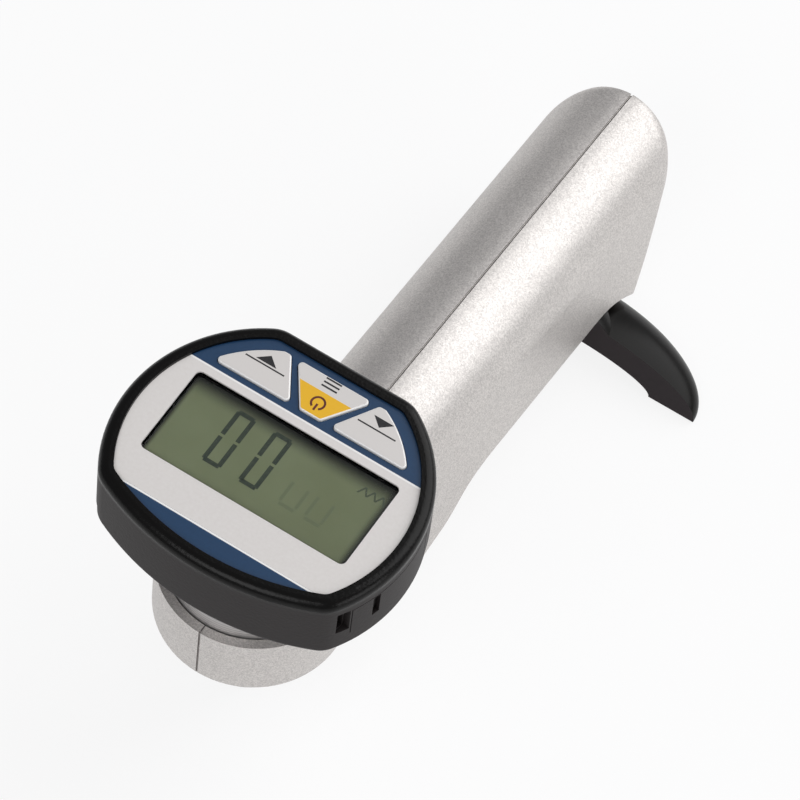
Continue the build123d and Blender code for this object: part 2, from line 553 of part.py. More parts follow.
# ============ point sleeve: screws into the frame's foot and stands on the work
with BuildPart() as point_sleeve:
    with BuildSketch(Plane.XZ):
        with BuildLine():
            Polyline((ORIFICE_R, ZERO), (NOSE_PIN_R, ZERO), (NOSE_PIN_R, NOSE_PIN_LEN),
                     (SLEEVE_BODY_R, NOSE_PIN_LEN + FREE), (SLEEVE_BODY_R, SLEEVE_SHOULDER_Z),
                     (SLEEVE_SHOULDER_R, SLEEVE_SHOULDER_Z), (SLEEVE_SHOULDER_R, FOOT_Z),
                     (SLEEVE_BORE_R - RUN, FOOT_Z), (SLEEVE_BORE_R - RUN, SLEEVE_TOP),
                     (PLUNGER_R + RUN, SLEEVE_TOP), (PLUNGER_R + RUN, LOW_STEM_Z1 - FIT),
                     (LOW_STEM_R + RUN, LOW_STEM_Z1 - FIT), (LOW_STEM_R + RUN, ORIFICE_Z),
                     (ORIFICE_R, ORIFICE_Z), (ORIFICE_R, ZERO))
        make_face()
    revolve(axis=Axis.Z)

# ============ indenter point: hardened cone pressed into the plunger
with BuildPart() as indenter_point:
    cone_r = POINT_FLAT_R + (POINT_CONE_Z - POINT_TIP_Z) * tan(radians(POINT_HALF_ANGLE))
    with BuildSketch(Plane.XZ):
        with BuildLine():
            Polyline((ZERO, POINT_TIP_Z), (POINT_FLAT_R, POINT_TIP_Z), (cone_r, POINT_CONE_Z),
                     (POINT_R, POINT_CONE_Z), (POINT_R, POINT_TOP_Z), (ZERO, POINT_TOP_Z),
                     (ZERO, POINT_TIP_Z))
        make_face()
    revolve(axis=Axis.Z)

# ============ plunger: guided in the sleeve below and in the load screw above
with BuildPart() as plunger:
    with BuildSketch(Plane.XZ):
        with BuildLine():
            Polyline((POINT_R, LOW_STEM_Z0), (LOW_STEM_R, LOW_STEM_Z0),
                     (LOW_STEM_R, LOW_STEM_Z1), (PLUNGER_R, LOW_STEM_Z1),
                     (PLUNGER_R, CHAMBER_Z), (PLUNGER_COLLAR_R, CHAMBER_Z),
                     (PLUNGER_COLLAR_R, CHAMBER_Z + PLUNGER_COLLAR_T),
                     (UPPER_STEM_R, CHAMBER_Z + PLUNGER_COLLAR_T),
                     (UPPER_STEM_R, UPPER_STEM_Z1), (ZERO, UPPER_STEM_Z1),
                     (ZERO, POINT_TOP_Z), (POINT_R, POINT_TOP_Z), (POINT_R, LOW_STEM_Z0))
        make_face()
    revolve(axis=Axis.Z)

# ============ load spring: between the plunger's collar and the load screw
with BuildPart() as load_spring:
    spring_z0 = CHAMBER_Z + PLUNGER_COLLAR_T + SPRING_WIRE_R
    spring_len = GUIDE_Z0 - SPRING_WIRE_R - spring_z0
    with BuildLine() as coil:
        Helix(SPRING_PITCH, spring_len, SPRING_R, center=(ZERO, ZERO, spring_z0))
    with BuildSketch(Plane(origin=coil.line @ 0, z_dir=coil.line % 0)):
        Circle(SPRING_WIRE_R)
    sweep()

# ============ load screw: threaded guide that presses on the spring
with BuildPart() as load_screw:
    with BuildSketch(Plane.XY.offset(GUIDE_Z0)):
        Circle(GUIDE_R)
        Circle(UPPER_STEM_R + RUN, mode=Mode.SUBTRACT)
    extrude(amount=GUIDE_TOP - GUIDE_Z0)
    with BuildSketch(Plane.XY.offset(GUIDE_TOP)):
        Rectangle(GUIDE_R * 3, GUIDE_SLOT_W)
    extrude(amount=-GUIDE_SLOT_DEPTH, mode=Mode.SUBTRACT)

# ============ lock nut: holds the load screw's setting
with BuildPart() as lock_nut:
    with BuildSketch(Plane.XY.offset(SPIGOT_Z)):
        RegularPolygon(NUT_AF / 2, 6, major_radius=False)
        Circle(GUIDE_R + RUN, mode=Mode.SUBTRACT)
    extrude(amount=NUT_Z1 - SPIGOT_Z)

# ============ collar: neck between frame and gauge, screwed on the frame's spigot
with BuildPart() as gauge_collar:
    with BuildSketch(Plane.XY.offset(COLLAR_Z0)):
        Circle(COLLAR_R)
    extrude(amount=COLLAR_H)
    chamfer(gauge_collar.edges(), length=COLLAR_EDGE)
    with BuildSketch(Plane.XY.offset(COLLAR_Z0)):
        Circle(COLLAR_CAVITY_R)
    extrude(amount=COLLAR_CAVITY_Z1 - COLLAR_Z0, mode=Mode.SUBTRACT)
    with BuildSketch(Plane.XY.offset(COLLAR_Z0)):
        Circle(STEM_R + RUN)
    extrude(amount=COLLAR_H, mode=Mode.SUBTRACT)
    with BuildSketch(Plane.XZ.offset(ZERO)):
        with Locations((ZERO, COVER_Z - CLAMP_DROP)):
            Circle(CLAMP_R)
    extrude(amount=-COLLAR_R, mode=Mode.SUBTRACT)

# ============ collar screw: grips the gauge stem from the rear
with BuildPart() as collar_screw:
    with BuildSketch(Plane.XZ.offset(-STEM_R)):
        with Locations((ZERO, COVER_Z - CLAMP_DROP)):
            Circle(CLAMP_R)
    extrude(amount=-CLAMP_LEN)
    with BuildSketch(Plane.XZ.offset(-STEM_R - CLAMP_LEN)):
        with Locations((ZERO, COVER_Z - CLAMP_DROP)):
            RegularPolygon(CLAMP_HEX, 6)
    extrude(amount=CLAMP_LEN / 3, mode=Mode.SUBTRACT)

# ============ gauge stem: tube clamped in the collar, flanged inside the head
with BuildPart() as gauge_stem:
    with BuildSketch(Plane.XZ):
        with BuildLine():
            Polyline((SPINDLE_R + RUN, STEM_Z0), (STEM_R, STEM_Z0), (STEM_R, STEM_FLANGE_Z0),
                     (STEM_FLANGE_R, STEM_FLANGE_Z0), (STEM_FLANGE_R, STEM_FLANGE_Z1),
                     (SPINDLE_R + RUN, STEM_FLANGE_Z1), (SPINDLE_R + RUN, STEM_Z0))
        make_face()
    revolve(axis=Axis.Z)

# ============ spindle and its contact tip
with BuildPart() as gauge_spindle:
    with BuildSketch(Plane.XY.offset(TIP_Z1)):
        Circle(SPINDLE_R)
    extrude(amount=SPINDLE_Z1 - TIP_Z1)
    with BuildSketch(Plane.XY.offset(SCALE_Z0)):
        with Locations((ZERO, SCALE_Y0 + SPINDLE_R)):
            Rectangle(SPINDLE_R * 2, SPINDLE_R * 2)
    extrude(amount=SPINDLE_Z1 - SCALE_Z0, mode=Mode.SUBTRACT)

with BuildPart() as contact_tip:
    with BuildSketch(Plane.XY.offset(TIP_Z0)):
        Circle(TIP_R)
    extrude(amount=TIP_Z1 - TIP_Z0)
    fillet(contact_tip.edges().group_by(Axis.Z)[0], radius=TIP_EDGE_R)

# ============ encoder scale on the spindle and the sensor that reads it
with BuildPart() as encoder_scale:
    with BuildSketch(Plane.XY.offset(SCALE_Z0)):
        with Locations((ZERO, (SCALE_Y0 + SCALE_Y1) / 2)):
            Rectangle(SCALE_HALF * 2, SCALE_Y1 - SCALE_Y0)
    extrude(amount=SPINDLE_Z1 - SCALE_Z0)

with BuildPart() as travel_sensor:
    with BuildSketch(Plane.XY.offset(STEM_FLANGE_Z1)):
        Rectangle(SENSOR_X, SENSOR_Y)
        Circle(SPINDLE_R + RUN, mode=Mode.SUBTRACT)
        with Locations((ZERO, (SCALE_Y0 + SCALE_Y1) / 2)):
            Rectangle(SCALE_HALF * 2 + FREE * 2, SCALE_Y1 - SCALE_Y0 + FREE * 2,
                      mode=Mode.SUBTRACT)
    extrude(amount=BOARD_Z - STEM_FLANGE_Z1)

# ============ gauge case: moulded shell, open below
FRONT_BOSSES = ((BOSS_X, BOSS_Y), (-BOSS_X, BOSS_Y))
REAR_BOSSES = ((REAR_BOSS_X, REAR_BOSS_Y), (-REAR_BOSS_X, REAR_BOSS_Y))
BOARD_POSTS = ((POST_X, POST_Y), (-POST_X, POST_Y))

with BuildPart() as gauge_case:
    add(head_block())
    with BuildSketch(Plane.XY.offset(FACE_Z - LABEL_T)):
        add(head_outline(RIM_W))
    extrude(amount=RIM_Z - FACE_Z + LABEL_T, mode=Mode.SUBTRACT)
    with BuildSketch(Plane.XY.offset(CASE_BASE_Z)):
        add(head_outline(CASE_WALL))
    extrude(amount=PLATE_Z - CASE_BASE_Z, mode=Mode.SUBTRACT)
    with BuildSketch(Plane.XY.offset(CASE_BASE_Z)):
        with Locations(*FRONT_BOSSES):
            Circle(BOSS_R)
    extrude(amount=PLATE_Z - CASE_BASE_Z)
    with BuildSketch(Plane.XY.offset(CASE_BASE_Z)):
        with Locations(*REAR_BOSSES):
            Circle(REAR_BOSS_R)
    extrude(amount=REAR_BOSS_TOP - CASE_BASE_Z)
    with BuildSketch(Plane.XY.offset(CASE_BASE_Z)):
        with Locations(*FRONT_BOSSES, *REAR_BOSSES):
            Circle(COVER_SCREW_R)
    extrude(amount=COVER_SCREW_LEN, mode=Mode.SUBTRACT)
    with BuildSketch(Plane.XY.offset(BOARD_TOP)):
        with Locations(*BOARD_POSTS):
            Circle(POST_R)
        with Locations((ZERO, REAR_POST_Y)):
            Circle(REAR_POST_R)
    extrude(amount=PLATE_Z - BOARD_TOP)
    with BuildSketch(Plane.XY.offset(BOARD_TOP)):
        with Locations(*BOARD_POSTS, (ZERO, REAR_POST_Y)):
            Circle(POST_HOLE_R)
    extrude(amount=PLATE_Z - BOARD_TOP, mode=Mode.SUBTRACT)
    with BuildSketch(Plane.XY.offset(PLATE_Z)):
        with Locations((ZERO, LCD_Y)):
            RectangleRounded(WINDOW_X, WINDOW_Y, WINDOW_R)
        add(side_key_plan(1, KEY_GAP))
        add(side_key_plan(-1, KEY_GAP))
        add(middle_key_plan(KEY_GAP))
    extrude(amount=RIM_Z - PLATE_Z, mode=Mode.SUBTRACT)
    with BuildSketch(Plane.XY.offset(LENS_Z)):
        with Locations((ZERO, LCD_Y)):
            RectangleRounded(LENS_X + FIT * 2, LENS_Y + FIT * 2, LENS_R)
    extrude(amount=LENS_T, mode=Mode.SUBTRACT)
    add(drawer_strip(DRAWER_GAP, DRAWER_Z0, DRAWER_Z1 - DRAWER_Z0), mode=Mode.SUBTRACT)
    with BuildSketch(DRAWER_PLANE.offset(SOCKET_Z0)):
        with Locations((HEAD_R, SOCKET_V)):
            Rectangle((HEAD_R - SOCKET_U0) * 2, SOCKET_W)
    extrude(amount=SOCKET_Z1 - SOCKET_Z0, mode=Mode.SUBTRACT)

# ============ back cover: shallow moulded dish with the drawer's guides
with BuildPart() as gauge_back_cover:
    with BuildSketch(Plane.XY.offset(COVER_Z)):
        add(head_outline(COVER_INSET))
    extrude(amount=CASE_BASE_Z - COVER_Z)
    fillet(gauge_back_cover.edges().group_by(Axis.Z)[0], radius=COVER_EDGE_R)
    with BuildSketch(Plane.XY.offset(CASE_BASE_Z)):
        add(head_outline(CASE_WALL + FIT))
    extrude(amount=LIP_H)
    with BuildSketch(Plane.XY.offset(COVER_FLOOR_Z)):
        add(head_outline(CASE_WALL + FIT + LIP_T))
        with Locations(*FRONT_BOSSES, *REAR_BOSSES):
            Circle(BOSS_R, mode=Mode.SUBTRACT)
    extrude(amount=COVER_WALL_H + LIP_H, mode=Mode.SUBTRACT)
    with BuildSketch(Plane.XY.offset(CASE_BASE_Z)):
        with Locations(*FRONT_BOSSES):
            Circle(BOSS_R + FREE)
        with Locations(*REAR_BOSSES):
            Circle(REAR_BOSS_R + FREE * 2)
    extrude(amount=LIP_H, mode=Mode.SUBTRACT)
    with BuildSketch(DRAWER_PLANE.offset(COVER_FLOOR_Z)):
        guide_mid = (TRAY_U0 + GUIDE_U1) / 2
        guide_len = GUIDE_U1 - TRAY_U0
        with Locations((guide_mid, DRAWER_V0 + GUIDE_STRIP / 2),
                       (guide_mid, DRAWER_V1 - GUIDE_STRIP / 2)):
            Rectangle(guide_len, GUIDE_STRIP)
    extrude(amount=TRAY_Z0 - COVER_FLOOR_Z)
    with BuildSketch(DRAWER_PLANE.offset(COVER_FLOOR_Z)):
        with Locations((guide_mid - GUIDE_T, DRAWER_V0 - FIT - GUIDE_T / 2),
                       (guide_mid - GUIDE_T, DRAWER_V1 + FIT + GUIDE_T / 2)):
            Rectangle(guide_len - GUIDE_T * 2, GUIDE_T)
    extrude(amount=TRAY_Z0 + GUIDE_H - COVER_FLOOR_Z)
    with BuildSketch(Plane.XY.offset(COVER_Z)):
        Circle(STEM_R + RUN)
        with Locations(*FRONT_BOSSES, *REAR_BOSSES):
            Circle(COVER_HOLE_R)
    extrude(amount=CASE_BASE_Z - COVER_Z, mode=Mode.SUBTRACT)
    with BuildSketch(Plane.XY.offset(COVER_Z)):
        with Locations(*FRONT_BOSSES, *REAR_BOSSES):
            Circle(COVER_SCREW_HEAD_R + FIT)
    extrude(amount=COVER_SCREW_HEAD_R / 2, mode=Mode.SUBTRACT)

# ============ cover screws
with BuildPart() as cover_screws:
    with BuildSketch(Plane.XY.offset(COVER_Z + FREE)):
        with Locations(*FRONT_BOSSES, *REAR_BOSSES):
            Circle(COVER_SCREW_HEAD_R)
    extrude(amount=COVER_SCREW_HEAD_R / 2 - FREE)
    with BuildSketch(Plane.XY.offset(COVER_Z + FREE)):
        with Locations(*FRONT_BOSSES, *REAR_BOSSES):
            Circle(COVER_SCREW_R)
    extrude(amount=COVER_SCREW_LEN)

# ============ label sheet with openings for window and keys
with BuildPart() as face_overlay:
    with BuildSketch(Plane.XY.offset(FACE_Z - LABEL_T)):
        add(head_outline(RIM_W + RUN))
        with Locations((ZERO, LCD_Y)):
            RectangleRounded(WINDOW_X, WINDOW_Y, WINDOW_R, mode=Mode.SUBTRACT)
        add(side_key_plan(1, KEY_GAP), mode=Mode.SUBTRACT)
        add(side_key_plan(-1, KEY_GAP), mode=Mode.SUBTRACT)
        add(middle_key_plan(KEY_GAP), mode=Mode.SUBTRACT)
    extrude(amount=LABEL_T)

# ============ display window
with BuildPart() as display_window:
    with BuildSketch(Plane.XY.offset(LENS_Z)):
        with Locations((ZERO, LCD_Y)):
            RectangleRounded(LENS_X, LENS_Y, LENS_R)
    extrude(amount=LENS_T)

# ============ display: glass cell in a carrier on the board
with BuildPart() as display_carrier:
    with BuildSketch(Plane.XY.offset(BOARD_TOP)):
        with Locations((ZERO, LCD_Y)):
            Rectangle(LCD_X, LCD_W)
            Rectangle(GLASS_X + FIT * 2, GLASS_Y + FIT * 2, mode=Mode.SUBTRACT)
    extrude(amount=LCD_TOP - BOARD_TOP)

with BuildPart() as display_glass:
    with BuildSketch(Plane.XY.offset(GLASS_TOP - GLASS_T)):
        with Locations((ZERO, LCD_Y)):
            RectangleRounded(GLASS_X, GLASS_Y, WINDOW_R)
    extrude(amount=GLASS_T)

with BuildPart() as display_backlight:
    with BuildSketch(Plane.XY.offset(BOARD_TOP)):
        with Locations((ZERO, LCD_Y)):
            Rectangle(GLASS_X, GLASS_Y)
    extrude(amount=GLASS_TOP - GLASS_T - BOARD_TOP)

# ============ circuit board
with BuildPart() as circuit_board:
    with BuildSketch(Plane.XY.offset(BOARD_Z)):
        add(head_outline(CASE_WALL + BOARD_GAP))
        with Locations(*FRONT_BOSSES):
            Circle(BOSS_R + FREE, mode=Mode.SUBTRACT)
        with Locations(*REAR_BOSSES):
            Circle(REAR_BOSS_R + FREE, mode=Mode.SUBTRACT)
        with Locations((BOSS_X, BOSS_Y - BOSS_R), (-BOSS_X, BOSS_Y - BOSS_R)):
            Rectangle(BOSS_R * 2 + FREE * 2, BOSS_R * 2, mode=Mode.SUBTRACT)
        with Locations(*BOARD_POSTS, (ZERO, REAR_POST_Y)):
            Circle(POST_HOLE_R + RUN, mode=Mode.SUBTRACT)
        with Locations((ZERO, REAR_POST_Y + REAR_POST_R)):
            Rectangle(POST_HOLE_R * 2 + RUN * 2, REAR_POST_R * 2, mode=Mode.SUBTRACT)
    extrude(amount=BOARD_T)
    with BuildSketch(DRAWER_PLANE.offset(BOARD_Z)):
        with Locations((HEAD_R, SOCKET_V)):
            Rectangle((HEAD_R - SOCKET_U0 + FREE) * 2, SOCKET_W + FREE * 2)
    extrude(amount=BOARD_T, mode=Mode.SUBTRACT)

# ============ board screws
with BuildPart() as board_screws:
    with BuildSketch(Plane.XY.offset(BOARD_Z - BOARD_SCREW_HEAD_T)):
        with Locations(*BOARD_POSTS, (ZERO, REAR_POST_Y)):
            Circle(BOARD_SCREW_HEAD_R)
    extrude(amount=BOARD_SCREW_HEAD_T)
    with BuildSketch(Plane.XY.offset(BOARD_Z)):
        with Locations(*BOARD_POSTS, (ZERO, REAR_POST_Y)):
            Circle(BOARD_SCREW_R)
    extrude(amount=BOARD_SCREW_LEN)

# ============ data socket: shell with contacts, let into the case wall
with BuildPart() as data_socket:
    with BuildSketch(DRAWER_PLANE.offset(SOCKET_Z0 + FIT)):
        with Locations(((SOCKET_U0 + SOCKET_U1) / 2, SOCKET_V)):
            Rectangle(SOCKET_U1 - SOCKET_U0, SOCKET_W - FIT * 2)
    extrude(amount=SOCKET_Z1 - SOCKET_Z0 - FIT * 2)
    with BuildSketch(DRAWER_PLANE.offset(SOCKET_Z0 + FIT + SOCKET_WALL)):
        with Locations((SOCKET_U1, SOCKET_V)):
            Rectangle((SOCKET_LEN - SOCKET_BACK) * 2, SOCKET_W - FIT * 2 - SOCKET_WALL * 2)
    extrude(amount=SOCKET_Z1 - SOCKET_Z0 - FIT * 2 - SOCKET_WALL * 2, mode=Mode.SUBTRACT)

with BuildPart() as socket_pins:
    for pin in range(PIN_COUNT):
        pin_z = (SOCKET_Z0 + SOCKET_Z1) / 2 + (pin - (PIN_COUNT - 1) / 2) * PIN_PITCH - PIN_W / 2
        with BuildSketch(DRAWER_PLANE.offset(pin_z)):
            with Locations((SOCKET_U0 + SOCKET_BACK + PIN_LEN / 2, SOCKET_V)):
                Rectangle(PIN_LEN, PIN_W)
        extrude(amount=PIN_W)

# ============ keys and their snap domes
def key_cap(plan, flange_plan, centre):
    """Cap with a rounded top, a flange that stops it, and a nub over the dome."""
    with BuildPart() as cap:
        with BuildSketch(Plane.XY.offset(KEY_FLANGE_Z + KEY_FLANGE_T)):
            add(plan)
        extrude(amount=KEY_TOP - KEY_FLANGE_Z - KEY_FLANGE_T)
        fillet(cap.edges().group_by(Axis.Z)[-1], radius=KEY_EDGE_R)
        with BuildSketch(Plane.XY.offset(KEY_FLANGE_Z)):
            add(flange_plan)
        extrude(amount=KEY_FLANGE_T)
        with BuildSketch(Plane.XY.offset(KEY_NUB_Z)):
            with Locations(centre):
                Circle(KEY_NUB_R)
        extrude(amount=KEY_FLANGE_Z - KEY_NUB_Z)
    return cap.part


with BuildPart() as key_middle:
    add(key_cap(middle_key_plan(ZERO), middle_key_plan(KEY_FLANGE),
                (ZERO, LCD_Y + KEY_MID_CENTRE_Y)))

with BuildPart() as key_right:
    add(key_cap(side_key_plan(1, ZERO), side_key_plan(1, KEY_FLANGE),
                (KEY_SIDE_CENTRE_X, LCD_Y + KEY_SIDE_CENTRE_Y)))

with BuildPart() as key_left:
    add(key_cap(side_key_plan(-1, ZERO), side_key_plan(-1, KEY_FLANGE),
                (-KEY_SIDE_CENTRE_X, LCD_Y + KEY_SIDE_CENTRE_Y)))

with BuildPart() as key_domes:
    with BuildSketch(Plane.XY.offset(BOARD_TOP)):
        with Locations((ZERO, LCD_Y + KEY_MID_CENTRE_Y),
                       (KEY_SIDE_CENTRE_X, LCD_Y + KEY_SIDE_CENTRE_Y),
                       (-KEY_SIDE_CENTRE_X, LCD_Y + KEY_SIDE_CENTRE_Y)):
            Circle(DOME_R)
    extrude(amount=DOME_T, taper=DOME_SIDE)

# ============ battery drawer: curved front with a tray for the cell
with BuildPart() as battery_drawer:
    with BuildSketch(Plane.XY.offset(DRAWER_Z0)):
        add(head_outline(ZERO))
        add(head_outline(CASE_WALL), mode=Mode.SUBTRACT)
    extrude(amount=DRAWER_Z1 - DRAWER_Z0)
    add(drawer_strip(ZERO, DRAWER_Z0, DRAWER_Z1 - DRAWER_Z0), mode=Mode.INTERSECT)
    with BuildSketch(DRAWER_PLANE.offset(TRAY_Z0)):
        with Locations(((TRAY_U0 + TRAY_U1) / 2, DRAWER_MID)):
            Rectangle(TRAY_U1 - TRAY_U0, DRAWER_W)
    extrude(amount=TRAY_Z1 - TRAY_Z0)
    add(head_block(), mode=Mode.INTERSECT)
    with BuildSketch(DRAWER_PLANE.offset(TRAY_Z0 + TRAY_FLOOR)):
        with Locations((CELL_U, DRAWER_MID)):
            Circle(CELL_R + CELL_GAP)
    extrude(amount=TRAY_Z1 - TRAY_Z0, mode=Mode.SUBTRACT)
    with BuildSketch(DRAWER_PLANE.offset(TRAY_Z0)):
        with Locations(((TRAY_U0 + PRONG_U1) / 2, DRAWER_MID)):
            Rectangle(PRONG_U1 - TRAY_U0 + FREE * 2, SLOT_HALF * 2)
    extrude(amount=TRAY_FLOOR, mode=Mode.SUBTRACT)
    notch_plane = Plane(origin=(ZERO, HEAD_CY, ZERO),
                        x_dir=(cos(radians(NOTCH_ANGLE)), sin(radians(NOTCH_ANGLE)), ZERO),
                        z_dir=(ZERO, ZERO, 1))
    with BuildSketch(notch_plane.offset(NOTCH_Z0)):
        with Locations((HEAD_R, ZERO)):
            Rectangle(NOTCH_DEPTH * 2, NOTCH_W)
    extrude(amount=NOTCH_Z1 - NOTCH_Z0, mode=Mode.SUBTRACT)

# ============ coin cell
with BuildPart() as coin_cell:
    with BuildSketch(DRAWER_PLANE.offset(TRAY_Z0 + TRAY_FLOOR)):
        with Locations((CELL_U, DRAWER_MID)):
            Circle(CELL_R)
    extrude(amount=CELL_T)
    chamfer(coin_cell.edges(), length=FREE)

# ============ battery contacts: springy strips from the board
with BuildPart() as upper_contact:
    with BuildSketch(DRAWER_PLANE.offset(CELL_TOP)):
        with Locations(((LEAF_U0 + LEAF_U1) / 2, DRAWER_MID)):
            Rectangle(LEAF_U1 - LEAF_U0, CONTACT_HALF * 2)
    extrude(amount=CONTACT_T)
    with BuildSketch(DRAWER_PLANE.offset(CELL_TOP)):
        with Locations((LEAF_U0 + CONTACT_T / 2, DRAWER_MID)):
            Rectangle(CONTACT_T, CONTACT_HALF * 2)
    extrude(amount=BOARD_Z - CELL_TOP)

with BuildPart() as lower_contact:
    with BuildSketch(DRAWER_PLANE.offset(TRAY_Z0 + TRAY_FLOOR - CONTACT_T)):
        with Locations(((PRONG_U0 + PRONG_U1) / 2, DRAWER_MID)):
            Rectangle(PRONG_U1 - PRONG_U0, CONTACT_HALF * 2)
    extrude(amount=CONTACT_T)
    with BuildSketch(DRAWER_PLANE.offset(TRAY_Z0 + TRAY_FLOOR - CONTACT_T)):
        with Locations((PRONG_U0 + CONTACT_T / 2, DRAWER_MID)):
            Rectangle(CONTACT_T, CONTACT_HALF * 2)
    extrude(amount=BOARD_Z - TRAY_Z0 - TRAY_FLOOR + CONTACT_T)

# ============ write every piece
PIECES = {
    "housing_left": housing_left, "housing_right": housing_right,
    "housing_screws": housing_screws, "frame": frame, "rear_leg": leg,
    "leg_screws": leg_screws, "point_sleeve": point_sleeve, "indenter_point": indenter_point,
    "plunger": plunger, "load_spring": load_spring, "load_screw": load_screw,
    "lock_nut": lock_nut, "gauge_collar": gauge_collar, "collar_screw": collar_screw,
    "gauge_stem": gauge_stem, "gauge_spindle": gauge_spindle, "contact_tip": contact_tip,
    "encoder_scale": encoder_scale, "travel_sensor": travel_sensor, "gauge_case": gauge_case,
    "gauge_back_cover": gauge_back_cover, "cover_screws": cover_screws,
    "face_overlay": face_overlay, "display_window": display_window,
    "display_carrier": display_carrier, "display_glass": display_glass,
    "display_backlight": display_backlight, "circuit_board": circuit_board,
    "board_screws": board_screws, "data_socket": data_socket, "socket_pins": socket_pins,
    "key_left": key_left, "key_middle": key_middle, "key_right": key_right,
    "key_domes": key_domes, "battery_drawer": battery_drawer, "coin_cell": coin_cell,
    "upper_contact": upper_contact, "lower_contact": lower_contact,
}
for label, piece in PIECES.items():
    piece.part.label = label
    export_step(piece.part, f"parts/{label}.step")
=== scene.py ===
import bpy
import bmesh
import math
from mathutils import Matrix, Vector


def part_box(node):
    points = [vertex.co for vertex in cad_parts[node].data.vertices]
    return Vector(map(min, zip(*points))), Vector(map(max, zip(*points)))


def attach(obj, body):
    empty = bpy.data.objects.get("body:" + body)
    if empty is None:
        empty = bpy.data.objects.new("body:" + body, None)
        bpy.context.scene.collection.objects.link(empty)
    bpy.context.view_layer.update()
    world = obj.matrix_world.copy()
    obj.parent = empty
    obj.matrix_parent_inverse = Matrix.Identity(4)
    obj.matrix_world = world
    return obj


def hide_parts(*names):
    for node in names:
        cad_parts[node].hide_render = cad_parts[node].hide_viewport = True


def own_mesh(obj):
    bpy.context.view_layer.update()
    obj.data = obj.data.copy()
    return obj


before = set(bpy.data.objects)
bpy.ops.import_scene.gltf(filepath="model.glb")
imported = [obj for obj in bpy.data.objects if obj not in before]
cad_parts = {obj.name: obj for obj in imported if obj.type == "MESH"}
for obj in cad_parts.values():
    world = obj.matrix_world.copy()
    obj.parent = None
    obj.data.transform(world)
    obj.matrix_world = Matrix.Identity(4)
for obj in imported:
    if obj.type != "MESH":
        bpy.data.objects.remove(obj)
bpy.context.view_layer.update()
MM = 0.001
scene = bpy.context.scene


# ---- Bench, light and camera ---------------------------------------------------------
# A pale matt bench top under three soft studio panels. The tester stands on its nose and
# the feet of its leg, and is seen from above, ahead and to the right.
BENCH_HALF, BENCH_Z = 3.0, -0.78 * MM      # metres, just under the indenter's point
BACKDROP_SHARE = 0.85                      # how far eye, gloss and glass see plain white
SKY_LEVEL = 0.32
PANELS = (                                 # name, place, aim, size, power
    ("panel_rear_right", (0.46, 0.88, 0.84), (0.0, 0.06, 0.05), 1.3, 12.0),
    ("panel_front", (-0.05, -0.75, 0.8), (0.0, 0.0, 0.05), 0.6, 3.2),
    ("panel_right", (0.9, -0.05, 0.35), (0.0, 0.05, 0.03), 0.45, 1.5),
)
EYE_PLACE = (0.22188, -0.41190, 0.87617)
EYE_RIGHT = Vector((0.84238714, 0.53390287, 0.07301801))
EYE_DOWN = Vector((0.48983403, -0.70218842, -0.51671466))
EYE_AHEAD = Vector((-0.22460304, 0.47104049, -0.85303829))


def new_finish(name):
    finish = bpy.data.materials.new(name)
    finish.use_nodes = True
    tree = finish.node_tree
    return finish, tree.nodes, tree.links, tree.nodes["Principled BSDF"]


def add(nodes, kind, **inputs):
    node = nodes.new("ShaderNode" + kind)
    for socket, value in inputs.items():
        node.inputs[socket.replace("_", " ")].default_value = value
    return node


def calculate(nodes, links, operation, first, second):
    step = nodes.new("ShaderNodeMath")
    step.operation = operation
    for socket, value in zip(step.inputs, (first, second)):
        if isinstance(value, (int, float)):
            socket.default_value = value
        else:
            links.new(value, socket)
    return step.outputs[0]


bench_mesh = bpy.data.meshes.new("bench_top")
bench_mesh.from_pydata([(x * BENCH_HALF, y * BENCH_HALF, BENCH_Z)
                        for x, y in ((-1, -1), (1, -1), (1, 1), (-1, 1))], [], [(0, 1, 2, 3)])
bench_top = bpy.data.objects.new("bench_top", bench_mesh)
scene.collection.objects.link(bench_top)
bench_paint, nodes, links, matt = new_finish("bench_paint")
matt.inputs["Base Color"].default_value = (0.90, 0.90, 0.91, 1)
matt.inputs["Roughness"].default_value = 0.7
ray = nodes.new("ShaderNodeLightPath")
seen = calculate(nodes, links, "MAXIMUM", ray.outputs["Is Camera Ray"], ray.outputs["Is Glossy Ray"])
seen = calculate(nodes, links, "MAXIMUM", seen, ray.outputs["Is Transmission Ray"])
share = calculate(nodes, links, "MULTIPLY", seen, BACKDROP_SHARE)
white = add(nodes, "Emission", Strength=1.0)
bench_surface = nodes.new("ShaderNodeMixShader")
links.new(share, bench_surface.inputs["Fac"])
links.new(matt.outputs["BSDF"], bench_surface.inputs[1])
links.new(white.outputs["Emission"], bench_surface.inputs[2])
links.new(bench_surface.outputs["Shader"], nodes["Material Output"].inputs["Surface"])
bench_mesh.materials.append(bench_paint)

studio = bpy.data.worlds.new("studio")
studio.use_nodes = True
scene.world = studio
sky = studio.node_tree.nodes["Background"]
sky.inputs["Color"].default_value = (0.96, 0.97, 1.0, 1)
sky.inputs["Strength"].default_value = SKY_LEVEL

for name, place, aim, size, power in PANELS:
    lamp = bpy.data.lights.new(name, "AREA")
    lamp.size = size
    lamp.energy = power
    holder = bpy.data.objects.new(name, lamp)
    scene.collection.objects.link(holder)
    holder.location = place
    holder.rotation_euler = (Vector(aim) - Vector(place)).to_track_quat("-Z", "Y").to_euler()

eye = bpy.data.cameras.new("eye")
eye.sensor_width = 36.0
eye.lens = 225.0
eye.clip_start = 0.05
eye.clip_end = 20.0
eye_holder = bpy.data.objects.new("eye", eye)
scene.collection.objects.link(eye_holder)
eye_turn = Matrix((EYE_RIGHT, -EYE_DOWN, -EYE_AHEAD)).transposed().to_4x4()
eye_holder.matrix_world = Matrix.Translation(EYE_PLACE) @ eye_turn
scene.camera = eye_holder
scene.view_settings.view_transform = "Standard"


